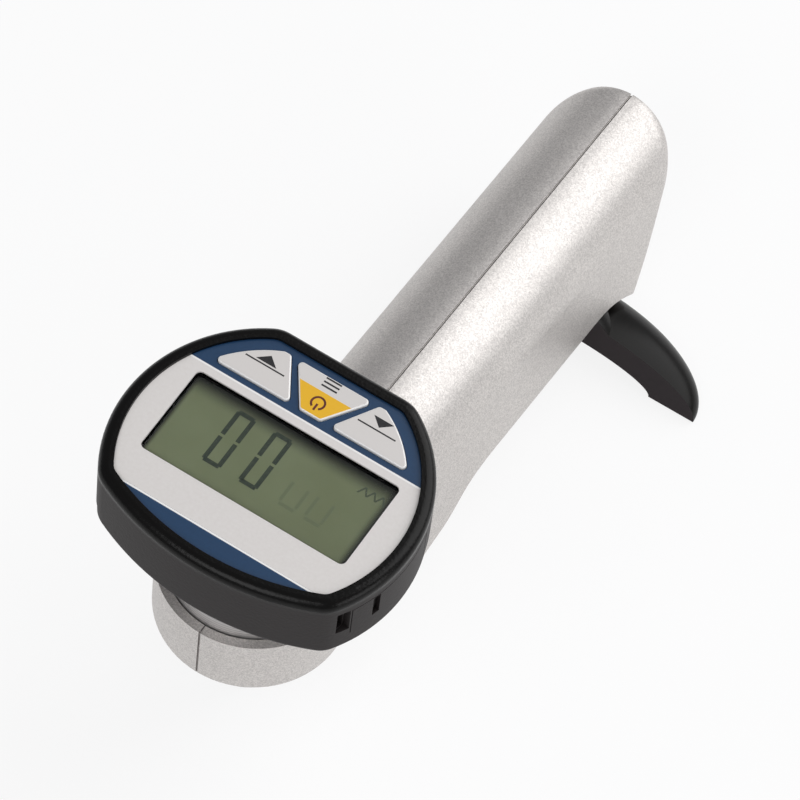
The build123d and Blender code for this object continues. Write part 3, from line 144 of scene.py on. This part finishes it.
# ---- Housing halves ------------------------------------------------------------------
# Two zinc die castings that meet on the middle plane, sprayed with a silver paint whose
# metal flakes glint one by one. A dark line runs along the joint between them, and three
# screws from the left hold them together.
FLAKES_PER_METRE = 4600.0
SEAM_DARK, SEAM_LINE_END = 0.07 * MM, 0.17 * MM      # from the parting plane
SEAM_LINE_TONE = (0.035, 0.030, 0.028)
FLAKE_DARK, FLAKE_BRIGHT = (0.53, 0.505, 0.488), (0.76, 0.727, 0.700)
FLAKE_SMOOTH, FLAKE_ROUGH = 0.36, 0.54
CLOUD_SHARE = 0.12
PAINT_METALLIC = 0.72


def dress(finish, *node_names):
    for node_name in node_names:
        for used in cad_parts[node_name].material_slots:
            used.material = finish


def mix_tone(nodes, links, factor, first, second, blend="MIX"):
    mixed = nodes.new("ShaderNodeMix")
    mixed.data_type = "RGBA"
    mixed.blend_type = blend
    for socket, value in (("Factor", factor), ("A", first), ("B", second)):
        if isinstance(value, float):
            mixed.inputs[socket].default_value = value
        elif isinstance(value, tuple):
            mixed.inputs[socket].default_value = (*value, 1)
        else:
            links.new(value, mixed.inputs[socket])
    return mixed.outputs["Result"]


def two_tones(nodes, links, factor, first, second, start=0.0, end=1.0):
    ramp = nodes.new("ShaderNodeValToRGB")
    for stop, place, tone in zip(ramp.color_ramp.elements, (start, end), (first, second)):
        stop.position = place
        stop.color = (*tone, 1)
    links.new(factor, ramp.inputs["Fac"])
    return ramp.outputs["Color"]


def map_range(nodes, links, value, **ends):
    mapped = add(nodes, "MapRange", **ends)
    links.new(value, mapped.inputs["Value"])
    return mapped.outputs["Result"]


def roughen(nodes, links, height, shader, strength, distance):
    relief = add(nodes, "Bump", Strength=strength, Distance=distance)
    links.new(height, relief.inputs["Height"])
    links.new(relief.outputs["Normal"], shader.inputs["Normal"])


def split(nodes, links, vector):
    parts = nodes.new("ShaderNodeSeparateXYZ")
    links.new(vector, parts.inputs["Vector"])
    return parts.outputs


silver_paint, nodes, links, paint = new_finish("silver_paint")
place = nodes.new("ShaderNodeTexCoord")
flakes = add(nodes, "TexVoronoi", Scale=FLAKES_PER_METRE)
links.new(place.outputs["Object"], flakes.inputs["Vector"])
flake = nodes.new("ShaderNodeSeparateColor")
links.new(flakes.outputs["Color"], flake.inputs["Color"])
flake_tone = two_tones(nodes, links, flake.outputs["Red"], FLAKE_DARK, FLAKE_BRIGHT)
cloud = add(nodes, "TexNoise", Scale=60.0, Detail=3.0)
links.new(place.outputs["Object"], cloud.inputs["Vector"])
sprayed = mix_tone(nodes, links, CLOUD_SHARE, flake_tone, cloud.outputs["Fac"], "MULTIPLY")
from_seam = calculate(nodes, links, "ABSOLUTE", split(nodes, links, place.outputs["Object"])["X"], 0.0)
off_seam_line = map_range(nodes, links, from_seam, From_Min=SEAM_DARK, From_Max=SEAM_LINE_END)
links.new(mix_tone(nodes, links, off_seam_line, SEAM_LINE_TONE, sprayed), paint.inputs["Base Color"])
links.new(map_range(nodes, links, off_seam_line, To_Min=0.0, To_Max=PAINT_METALLIC), paint.inputs["Metallic"])
links.new(map_range(nodes, links, flake.outputs["Blue"], To_Min=FLAKE_SMOOTH, To_Max=FLAKE_ROUGH),
          paint.inputs["Roughness"])
roughen(nodes, links, flake.outputs["Green"], paint, strength=0.045, distance=0.08 * MM)
dress(silver_paint, "housing_left", "housing_right")


# ---- Collar and other turned metal ---------------------------------------------------
# The collar is turned aluminium with fine lathe lines. Stem, sleeve, plunger, nut and
# small screws are bright steel, the point and tip are hardened, the contacts are brass.
# Each row: name, dark and light tone, metallic, roughness, lines per metre, line depth.
TURNED = (
    ("collar_metal", (0.47, 0.46, 0.46), (0.63, 0.61, 0.60), 0.75, 0.40, 420.0, 0.30),
    ("steel", (0.30, 0.30, 0.31), (0.42, 0.42, 0.43), 1.0, 0.30, 500.0, 0.20),
    ("hard_steel", (0.17, 0.17, 0.18), (0.24, 0.24, 0.25), 1.0, 0.22, 700.0, 0.10),
    ("brass", (0.60, 0.43, 0.19), (0.74, 0.56, 0.27), 1.0, 0.32, 500.0, 0.15),
)


def turned(name, dark, light, metallic, roughness, lines_per_metre, line_depth):
    finish, nodes, links, metal = new_finish(name)
    place = nodes.new("ShaderNodeTexCoord")
    lines = add(nodes, "TexWave", Scale=lines_per_metre, Distortion=1.2, Detail=3.0)
    lines.bands_direction = "Z"
    links.new(place.outputs["Object"], lines.inputs["Vector"])
    links.new(two_tones(nodes, links, lines.outputs["Fac"], dark, light), metal.inputs["Base Color"])
    roughen(nodes, links, lines.outputs["Fac"], metal, strength=line_depth, distance=0.05 * MM)
    metal.inputs["Metallic"].default_value = metallic
    metal.inputs["Roughness"].default_value = roughness
    return finish


collar_metal, steel, hard_steel, brass = (turned(*row) for row in TURNED)
dress(collar_metal, "gauge_collar", "coin_cell")
dress(steel, "gauge_stem", "point_sleeve", "plunger", "gauge_spindle", "lock_nut", "board_screws",
      "key_domes")
dress(hard_steel, "indenter_point", "contact_tip", "load_spring")
dress(brass, "load_screw", "upper_contact", "lower_contact", "socket_pins")


# ---- Load spring ---------------------------------------------------------------------
# A coil of round spring wire round the plunger, between its collar and the load screw.
# On the real tester it shortens by the plunger's travel when the point is pressed in;
# this coil is built at one length.
WIRE_R, COIL_PITCH = 0.85 * MM, 3.3 * MM
WIRE_SIDES, STEPS_PER_TURN = 12, 40


def new_piece(name, shape, finish):
    mesh = bpy.data.meshes.new(name)
    shape.to_mesh(mesh)
    shape.free()
    mesh.materials.append(finish)
    piece = bpy.data.objects.new(name, mesh)
    scene.collection.objects.link(piece)
    return piece


coil_low, coil_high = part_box("load_spring")
coil_r = coil_high[0] - WIRE_R
coil_start, coil_end = coil_low[2] + WIRE_R, coil_high[2] - WIRE_R
turns = (coil_end - coil_start) / COIL_PITCH
coil_steps = round(turns * STEPS_PER_TURN)
coil = bmesh.new()
hoops = []
for step in range(coil_steps + 1):
    angle = 2 * math.pi * turns * step / coil_steps
    outward = Vector((math.cos(angle), math.sin(angle), 0))
    climb = coil_start + (coil_end - coil_start) * step / coil_steps
    hub = outward * coil_r + Vector((0, 0, climb))
    hoop = []
    for side in range(WIRE_SIDES):
        around = 2 * math.pi * side / WIRE_SIDES
        reach = outward * math.cos(around) + Vector((0, 0, math.sin(around)))
        hoop.append(coil.verts.new(hub + WIRE_R * reach))
    hoops.append(hoop)
for near, far in zip(hoops, hoops[1:]):
    for side in range(WIRE_SIDES):
        after = (side + 1) % WIRE_SIDES
        coil.faces.new((near[side], near[after], far[after], far[side])).smooth = True
coil.faces.new(hoops[0][::-1])
coil.faces.new(hoops[-1])
bmesh.ops.recalc_face_normals(coil, faces=coil.faces)
spring_coil = new_piece("spring_coil", coil, hard_steel)
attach(spring_coil, "housing")
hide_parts("load_spring")
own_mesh(spring_coil)


# ---- Frame ---------------------------------------------------------------------------
# A rough aluminium casting inside the housing, bare metal with a sandy skin. It carries
# the plunger in front and the leg at the rear.
cast_metal, nodes, links, metal = new_finish("cast_metal")
place = nodes.new("ShaderNodeTexCoord")
sand = add(nodes, "TexNoise", Scale=900.0, Detail=4.0)
links.new(place.outputs["Object"], sand.inputs["Vector"])
roughen(nodes, links, sand.outputs["Fac"], metal, strength=0.3, distance=0.2 * MM)
metal.inputs["Base Color"].default_value = (0.55, 0.55, 0.56, 1)
metal.inputs["Metallic"].default_value = 0.9
metal.inputs["Roughness"].default_value = 0.55
dress(cast_metal, "frame")


# ---- Rear leg and black screws -------------------------------------------------------
# A black painted casting with a smooth rounded back, a flat matt front and an arch
# between its two feet. The flat front is also painted a lighter tone than the back, as
# painted light on that face. Two screws hold it up against the frame.
FRONT_FACING, BACK_FACING = -0.35, -0.15      # Y of the surface's normal
FRONT_PAINTED_LIGHT_TONE, BACK_TONE = (0.034, 0.028, 0.030), (0.0035, 0.0030, 0.0026)
FRONT_ROUGHNESS, BACK_ROUGHNESS = 0.55, 0.26
leg_paint, nodes, links, black = new_finish("leg_paint")
place = nodes.new("ShaderNodeTexCoord")
peel = add(nodes, "TexNoise", Scale=700.0)
links.new(place.outputs["Object"], peel.inputs["Vector"])
roughen(nodes, links, peel.outputs["Fac"], black, strength=0.12, distance=0.1 * MM)
facing = split(nodes, links, place.outputs["Normal"])
flat_front = map_range(nodes, links, facing["Y"], From_Min=FRONT_FACING, From_Max=BACK_FACING,
                       To_Min=1.0, To_Max=0.0)
# Painted light: the flat front gets a lighter tone than the rounded back; its higher roughness is the
# matt finish.
links.new(mix_tone(nodes, links, flat_front, BACK_TONE, FRONT_PAINTED_LIGHT_TONE), black.inputs["Base Color"])
links.new(map_range(nodes, links, flat_front, To_Min=BACK_ROUGHNESS, To_Max=FRONT_ROUGHNESS),
          black.inputs["Roughness"])
black.inputs["Specular IOR Level"].default_value = 0.14
dress(leg_paint, "rear_leg", "leg_screws", "housing_screws", "cover_screws", "collar_screw")


# ---- Gauge case and back cover -------------------------------------------------------
# Moulded black plastic: a fine matt grain on the walls, and a smooth rounded rim round
# the face that shines. The battery drawer and the data socket are moulded in the same.
RIM_STARTS, RIM_FULL = 76.6 * MM, 77.8 * MM
WALL_TONE, RIM_TONE = (0.021, 0.0175, 0.0175), (0.0030, 0.0027, 0.0025)
WALL_ROUGHNESS, RIM_ROUGHNESS = 0.52, 0.26
case_plastic, nodes, links, plastic = new_finish("case_plastic")
place = nodes.new("ShaderNodeTexCoord")
height = split(nodes, links, place.outputs["Object"])["Z"]
on_rim = map_range(nodes, links, height, From_Min=RIM_STARTS, From_Max=RIM_FULL)
links.new(map_range(nodes, links, on_rim, To_Min=WALL_ROUGHNESS, To_Max=RIM_ROUGHNESS),
          plastic.inputs["Roughness"])
links.new(mix_tone(nodes, links, on_rim, WALL_TONE, RIM_TONE), plastic.inputs["Base Color"])
grain = add(nodes, "TexNoise", Scale=1500.0)
links.new(place.outputs["Object"], grain.inputs["Vector"])
roughen(nodes, links, grain.outputs["Fac"], plastic, strength=0.35, distance=0.12 * MM)
plastic.inputs["Specular IOR Level"].default_value = 0.18
dress(case_plastic, "gauge_case", "gauge_back_cover", "battery_drawer", "data_socket",
      "travel_sensor")


# ---- Face label ----------------------------------------------------------------------
# A satin silver sheet, printed with a dark blue band behind the display, round the keys,
# and another along the front. A thin pale line borders each band.
LABEL_SILVER, LABEL_BLUE = (0.73, 0.70, 0.68), (0.009, 0.043, 0.11)
LINE_TONE = (0.88, 0.87, 0.86)
SATIN_SHARE = 0.12
REAR_BAND, FRONT_BAND = 14.23 * MM, -15.5 * MM
LINE_PLACES, LINE_HALF = (14.05 * MM, -15.72 * MM), 0.20 * MM
label_print, nodes, links, sheet = new_finish("label_print")
place = nodes.new("ShaderNodeTexCoord")
along = split(nodes, links, place.outputs["Object"])["Y"]
banded = calculate(nodes, links, "MAXIMUM",
                   calculate(nodes, links, "GREATER_THAN", along, REAR_BAND),
                   calculate(nodes, links, "LESS_THAN", along, FRONT_BAND))
ink = mix_tone(nodes, links, banded, LABEL_SILVER, LABEL_BLUE)
near_lines = []
for line_place in LINE_PLACES:
    near = nodes.new("ShaderNodeMath")
    near.operation = "COMPARE"
    near.inputs[1].default_value = line_place
    near.inputs[2].default_value = LINE_HALF
    links.new(along, near.inputs[0])
    near_lines.append(near.outputs[0])
lined = mix_tone(nodes, links, calculate(nodes, links, "MAXIMUM", *near_lines), ink, LINE_TONE)
satin = add(nodes, "TexNoise", Scale=1400.0, Detail=2.0)
links.new(place.outputs["Object"], satin.inputs["Vector"])
links.new(mix_tone(nodes, links, SATIN_SHARE, lined, satin.outputs["Fac"], "OVERLAY"),
          sheet.inputs["Base Color"])
roughen(nodes, links, satin.outputs["Fac"], sheet, strength=0.10, distance=0.05 * MM)
sheet.inputs["Roughness"].default_value = 0.34
dress(label_print, "face_overlay")


# ---- Display cell, window and carrier ------------------------------------------------
# A grey-green reflective liquid crystal cell under a clear window, darkened along its
# edges by a painted shadow, most deeply along the rear edge. A black moulded carrier
# holds it over the board.
FLUID_DARK, FLUID_LIGHT = (0.185, 0.215, 0.110), (0.205, 0.240, 0.130)
SHADE_TONE = (0.016, 0.018, 0.014)
lcd_glass, nodes, links, cell = new_finish("lcd_glass")
place = nodes.new("ShaderNodeTexCoord")
across = split(nodes, links, place.outputs["Object"])
cell_low, cell_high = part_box("display_glass")
CELL_EDGES = (                               # axis, edge, how far its shade reaches inward
    ("Y", cell_high[1], -4.2 * MM),
    ("X", cell_high[0], -2.0 * MM),
    ("X", cell_low[0], 1.1 * MM),
    ("Y", cell_low[1], 0.8 * MM),
)
# Painted shadow: the cell fades towards the shade tone near each of its edges.
lit = 1.0
for axis, edge, reach in CELL_EDGES:
    fade = add(nodes, "MapRange", From_Min=edge, From_Max=edge + reach)
    fade.interpolation_type = "SMOOTHSTEP"
    links.new(across[axis], fade.inputs["Value"])
    lit = calculate(nodes, links, "MULTIPLY", lit, fade.outputs["Result"])
mottle = add(nodes, "TexNoise", Scale=120.0)
links.new(place.outputs["Object"], mottle.inputs["Vector"])
fluid = two_tones(nodes, links, mottle.outputs["Fac"], FLUID_DARK, FLUID_LIGHT, start=0.3, end=0.7)
links.new(mix_tone(nodes, links, lit, SHADE_TONE, fluid), cell.inputs["Base Color"])
cell.inputs["Roughness"].default_value = 0.5
dress(lcd_glass, "display_glass")

window_clear, nodes, links, pane = new_finish("window_clear")
pane.inputs["Base Color"].default_value = (1, 1, 1, 1)
pane.inputs["Roughness"].default_value = 0.04
pane.inputs["Transmission Weight"].default_value = 1.0
pane.inputs["IOR"].default_value = 1.2
dress(window_clear, "display_window")

carrier_plastic, nodes, links, carrier = new_finish("carrier_plastic")
place = nodes.new("ShaderNodeTexCoord")
pitting = add(nodes, "TexNoise", Scale=1800.0)
links.new(place.outputs["Object"], pitting.inputs["Vector"])
roughen(nodes, links, pitting.outputs["Fac"], carrier, strength=0.15, distance=0.05 * MM)
carrier.inputs["Base Color"].default_value = (0.014, 0.014, 0.014, 1)
carrier.inputs["Roughness"].default_value = 0.5
dress(carrier_plastic, "display_carrier", "display_backlight")


# ---- Display digits ------------------------------------------------------------------
# Two dark seven-segment zeros on the cell, and beside them the faint outlines of unlit
# digits and of a zigzag sign.
CELL_TOP = 77.6                               # sizes of the marks are in millimetres
DIGIT_LEFTS, DIGIT_W = (-12.0, -3.9), 4.2
DIGIT_LOW, DIGIT_HIGH = -3.0, 10.0
STROKE, STROKE_GAP, STROKE_END, SIDE_END = 0.92, 0.3, 0.4, 0.5
DIGIT_THICK, GHOST_THICK = 0.03, 0.02
GHOST_LEFTS, GHOST_W, GHOST_STROKE = (4.6, 10.2), 3.4, 0.7
GHOST_SIDE, GHOST_BASE = (-2.0, 2.6), (-2.9, -2.2)
ZIGZAG_X, ZIGZAG_STEP, ZIGZAG_STROKE, ZIGZAG_COUNT = 15.6, 0.95, 0.4, 6
ZIGZAG_LEVELS = (7.6, 9.4)
# The unlit marks darken towards the keys with a painted shadow, the same as the cell's rear edge.
FADE_FROM, FADE_TO = 3.0, 7.5                 # the unlit marks darken towards the keys
FAINT_TONE, FAINT_SHADOWED_TONE = (0.160, 0.190, 0.105), (0.075, 0.095, 0.060)
SEGMENT_THIN, SEGMENT_FULL = (0.044, 0.060, 0.040), (0.030, 0.045, 0.032)


def bar(shape, corners, z, thick):
    low = [shape.verts.new((x * MM, y * MM, z * MM)) for x, y in corners]
    high = [shape.verts.new((x * MM, y * MM, (z + thick) * MM)) for x, y in corners]
    shape.faces.new(low[::-1])
    shape.faces.new(high)
    for i in range(len(corners)):
        after = (i + 1) % len(corners)
        shape.faces.new((low[i], low[after], high[after], high[i]))


def upright(shape, x0, x1, y0, y1, z, thick):
    bar(shape, [(x0, y0), (x1, y0), (x1, y1), (x0, y1)], z, thick)


def printed(name, thin, full, roughness):
    finish, nodes, links, mark = new_finish(name)
    place = nodes.new("ShaderNodeTexCoord")
    speckle = add(nodes, "TexNoise", Scale=1500.0, Detail=2.0)
    links.new(place.outputs["Object"], speckle.inputs["Vector"])
    tone = two_tones(nodes, links, speckle.outputs["Fac"], thin, full, start=0.35, end=0.60)
    links.new(tone, mark.inputs["Base Color"])
    mark.inputs["Roughness"].default_value = roughness
    return finish


ghost_ink, nodes, links, faint = new_finish("ghost_ink")
place = nodes.new("ShaderNodeTexCoord")
along = split(nodes, links, place.outputs["Object"])["Y"]
# Painted shadow: the faint marks darken towards the rear edge of the cell.
rearward = map_range(nodes, links, along, From_Min=FADE_FROM * MM, From_Max=FADE_TO * MM)
links.new(mix_tone(nodes, links, rearward, FAINT_TONE, FAINT_SHADOWED_TONE), faint.inputs["Base Color"])
faint.inputs["Roughness"].default_value = 0.5
ghosts = bmesh.new()
for left in GHOST_LEFTS:
    for x in (left, left + GHOST_W):
        upright(ghosts, x, x + GHOST_STROKE, *GHOST_SIDE, CELL_TOP, GHOST_THICK)
    upright(ghosts, left + STROKE_END, left + STROKE_END + GHOST_W, *GHOST_BASE, CELL_TOP, GHOST_THICK)
for step in range(ZIGZAG_COUNT):
    x0, x1 = ZIGZAG_X + step * ZIGZAG_STEP, ZIGZAG_X + (step + 1) * ZIGZAG_STEP
    y0, y1 = ZIGZAG_LEVELS[::-1] if step % 2 else ZIGZAG_LEVELS
    bar(ghosts, [(x0, y0), (x0 + ZIGZAG_STROKE, y0), (x1 + ZIGZAG_STROKE, y1), (x1, y1)],
        CELL_TOP, GHOST_THICK)
display_ghosts = new_piece("display_ghosts", ghosts, ghost_ink)
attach(display_ghosts, "housing")

segment_ink = printed("segment_ink", SEGMENT_THIN, SEGMENT_FULL, roughness=0.5)
digits = bmesh.new()
digit_mid = (DIGIT_LOW + DIGIT_HIGH) / 2
for left in DIGIT_LEFTS:
    right = left + DIGIT_W
    for x in (left, right - STROKE):
        for y0, y1 in ((DIGIT_LOW + SIDE_END, digit_mid - STROKE_GAP),
                       (digit_mid + STROKE_GAP, DIGIT_HIGH - SIDE_END)):
            upright(digits, x, x + STROKE, y0, y1, CELL_TOP, DIGIT_THICK)
    for y in (DIGIT_LOW, DIGIT_HIGH - STROKE):
        upright(digits, left + STROKE_END, right - STROKE_END, y, y + STROKE, CELL_TOP, DIGIT_THICK)
display_digits = new_piece("display_digits", digits, segment_ink)
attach(display_digits, "housing")


# ---- Keys ----------------------------------------------------------------------------
# Three silver-grey caps under a clear lacquer, with a pale painted highlight on their
# rounded edges. The middle one has a yellow field towards the display.
YELLOW_END, NO_YELLOW = 21.1 * MM, -1.0
KEY_SILVER, KEY_YELLOW, EDGE_HIGHLIGHT_TONE = (0.71, 0.68, 0.66), (0.86, 0.48, 0.01), (0.93, 0.92, 0.91)
EDGE_STARTS, EDGE_FULL = 0.99, 0.90           # Z of the surface's normal


def key_finish(name, yellow_end):
    finish, nodes, links, cap = new_finish(name)
    place = nodes.new("ShaderNodeTexCoord")
    along = split(nodes, links, place.outputs["Object"])["Y"]
    field = calculate(nodes, links, "LESS_THAN", along, yellow_end)
    ink = mix_tone(nodes, links, field, KEY_SILVER, KEY_YELLOW)
    facing = split(nodes, links, place.outputs["Normal"])
    rounded = map_range(nodes, links, facing["Z"], From_Min=EDGE_STARTS, From_Max=EDGE_FULL)
    # Painted highlight: the rounded edges are mixed towards a pale tone.
    links.new(mix_tone(nodes, links, rounded, ink, EDGE_HIGHLIGHT_TONE), cap.inputs["Base Color"])
    satin = add(nodes, "TexNoise", Scale=1600.0)
    links.new(place.outputs["Object"], satin.inputs["Vector"])
    roughen(nodes, links, satin.outputs["Fac"], cap, strength=0.08, distance=0.05 * MM)
    cap.inputs["Roughness"].default_value = 0.28
    cap.inputs["Coat Weight"].default_value = 0.8
    cap.inputs["Coat Roughness"].default_value = 0.12
    return finish


dress(key_finish("key_plastic", NO_YELLOW), "key_left", "key_right")
dress(key_finish("key_two_tone", YELLOW_END), "key_middle")


# ---- Key marks -----------------------------------------------------------------------
# Black printed triangles over a line on the side keys. The middle key has three short
# bars on its silver field and a dark red power sign on its yellow one.
KEY_TOP, MARK_THICK = 79.8, 0.02              # millimetres
SIDE_MARKS = (                                # name, body, triangle, ends of the line
    ("left_key_mark", "left_key", [(-15.0, 20.3), (-10.5, 20.3), (-12.75, 22.2)], (-17.0, -8.4)),
    ("right_key_mark", "right_key", [(10.0, 22.4), (12.2, 20.5), (14.4, 22.4)], (8.0, 16.3)),
)
LINE_Y = (19.65, 19.95)
POWER_Y, POWER_OUT_R, POWER_IN_R = 18.5, 1.55, 1.12
POWER_STEPS, POWER_GAP = 15, 64.0             # degrees left open, towards the display
POWER_BAR_HALF, POWER_BAR_Y = 0.22, (POWER_Y - 1.75, POWER_Y - 0.2)
BAR_HALF, BAR_HIGH, BAR_PLACES = 1.7, 0.36, (22.15, 23.05, 23.95)
BLACK_THIN, BLACK_FULL = (0.020, 0.020, 0.022), (0.010, 0.010, 0.012)
RED_THIN, RED_FULL = (0.14, 0.018, 0.012), (0.09, 0.010, 0.007)

key_ink = printed("key_ink", BLACK_THIN, BLACK_FULL, roughness=0.45)
power_ink = printed("power_ink", RED_THIN, RED_FULL, roughness=0.45)
for name, body, triangle, line_ends in SIDE_MARKS:
    marks = bmesh.new()
    bar(marks, triangle, KEY_TOP, MARK_THICK)
    upright(marks, *line_ends, *LINE_Y, KEY_TOP, MARK_THICK)
    key_mark = new_piece(name, marks, key_ink)
    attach(key_mark, body)

power_sign = bmesh.new()
power_start, power_turn = POWER_GAP / 2 - 90, 360 - POWER_GAP
for step in range(POWER_STEPS):
    a0, a1 = (math.radians(power_start + power_turn * (step + k) / POWER_STEPS) for k in (0, 1))
    rim = ((POWER_OUT_R, a0), (POWER_OUT_R, a1), (POWER_IN_R, a1), (POWER_IN_R, a0))
    bar(power_sign, [(r * math.cos(a), POWER_Y + r * math.sin(a)) for r, a in rim], KEY_TOP, MARK_THICK)
upright(power_sign, -POWER_BAR_HALF, POWER_BAR_HALF, *POWER_BAR_Y, KEY_TOP, MARK_THICK)
menu_bars = bmesh.new()
for y in BAR_PLACES:
    upright(menu_bars, -BAR_HALF, BAR_HALF, y, y + BAR_HIGH, KEY_TOP, MARK_THICK)
for name, marks, finish in (("power_mark", power_sign, power_ink), ("menu_mark", menu_bars, key_ink)):
    key_mark = new_piece(name, marks, finish)
    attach(key_mark, "middle_key")


# ---- Circuit board -------------------------------------------------------------------
# Glass fibre board with copper tracks raised under green solder mask. The encoder scale
# beside the spindle is the same laminate.
MASK_DARK, MASK_LIGHT, TRACK_TONE = (0.010, 0.115, 0.040), (0.012, 0.135, 0.050), (0.045, 0.220, 0.070)
board_green, nodes, links, board = new_finish("board_green")
place = nodes.new("ShaderNodeTexCoord")
tracks = add(nodes, "TexBrick", Scale=180.0, Mortar_Size=0.06, Color1=(*MASK_DARK, 1),
             Color2=(*MASK_LIGHT, 1), Mortar=(*TRACK_TONE, 1))
links.new(place.outputs["Object"], tracks.inputs["Vector"])
links.new(tracks.outputs["Color"], board.inputs["Base Color"])
roughen(nodes, links, tracks.outputs["Fac"], board, strength=0.3, distance=0.04 * MM)
board.inputs["Roughness"].default_value = 0.35
dress(board_green, "circuit_board", "encoder_scale")
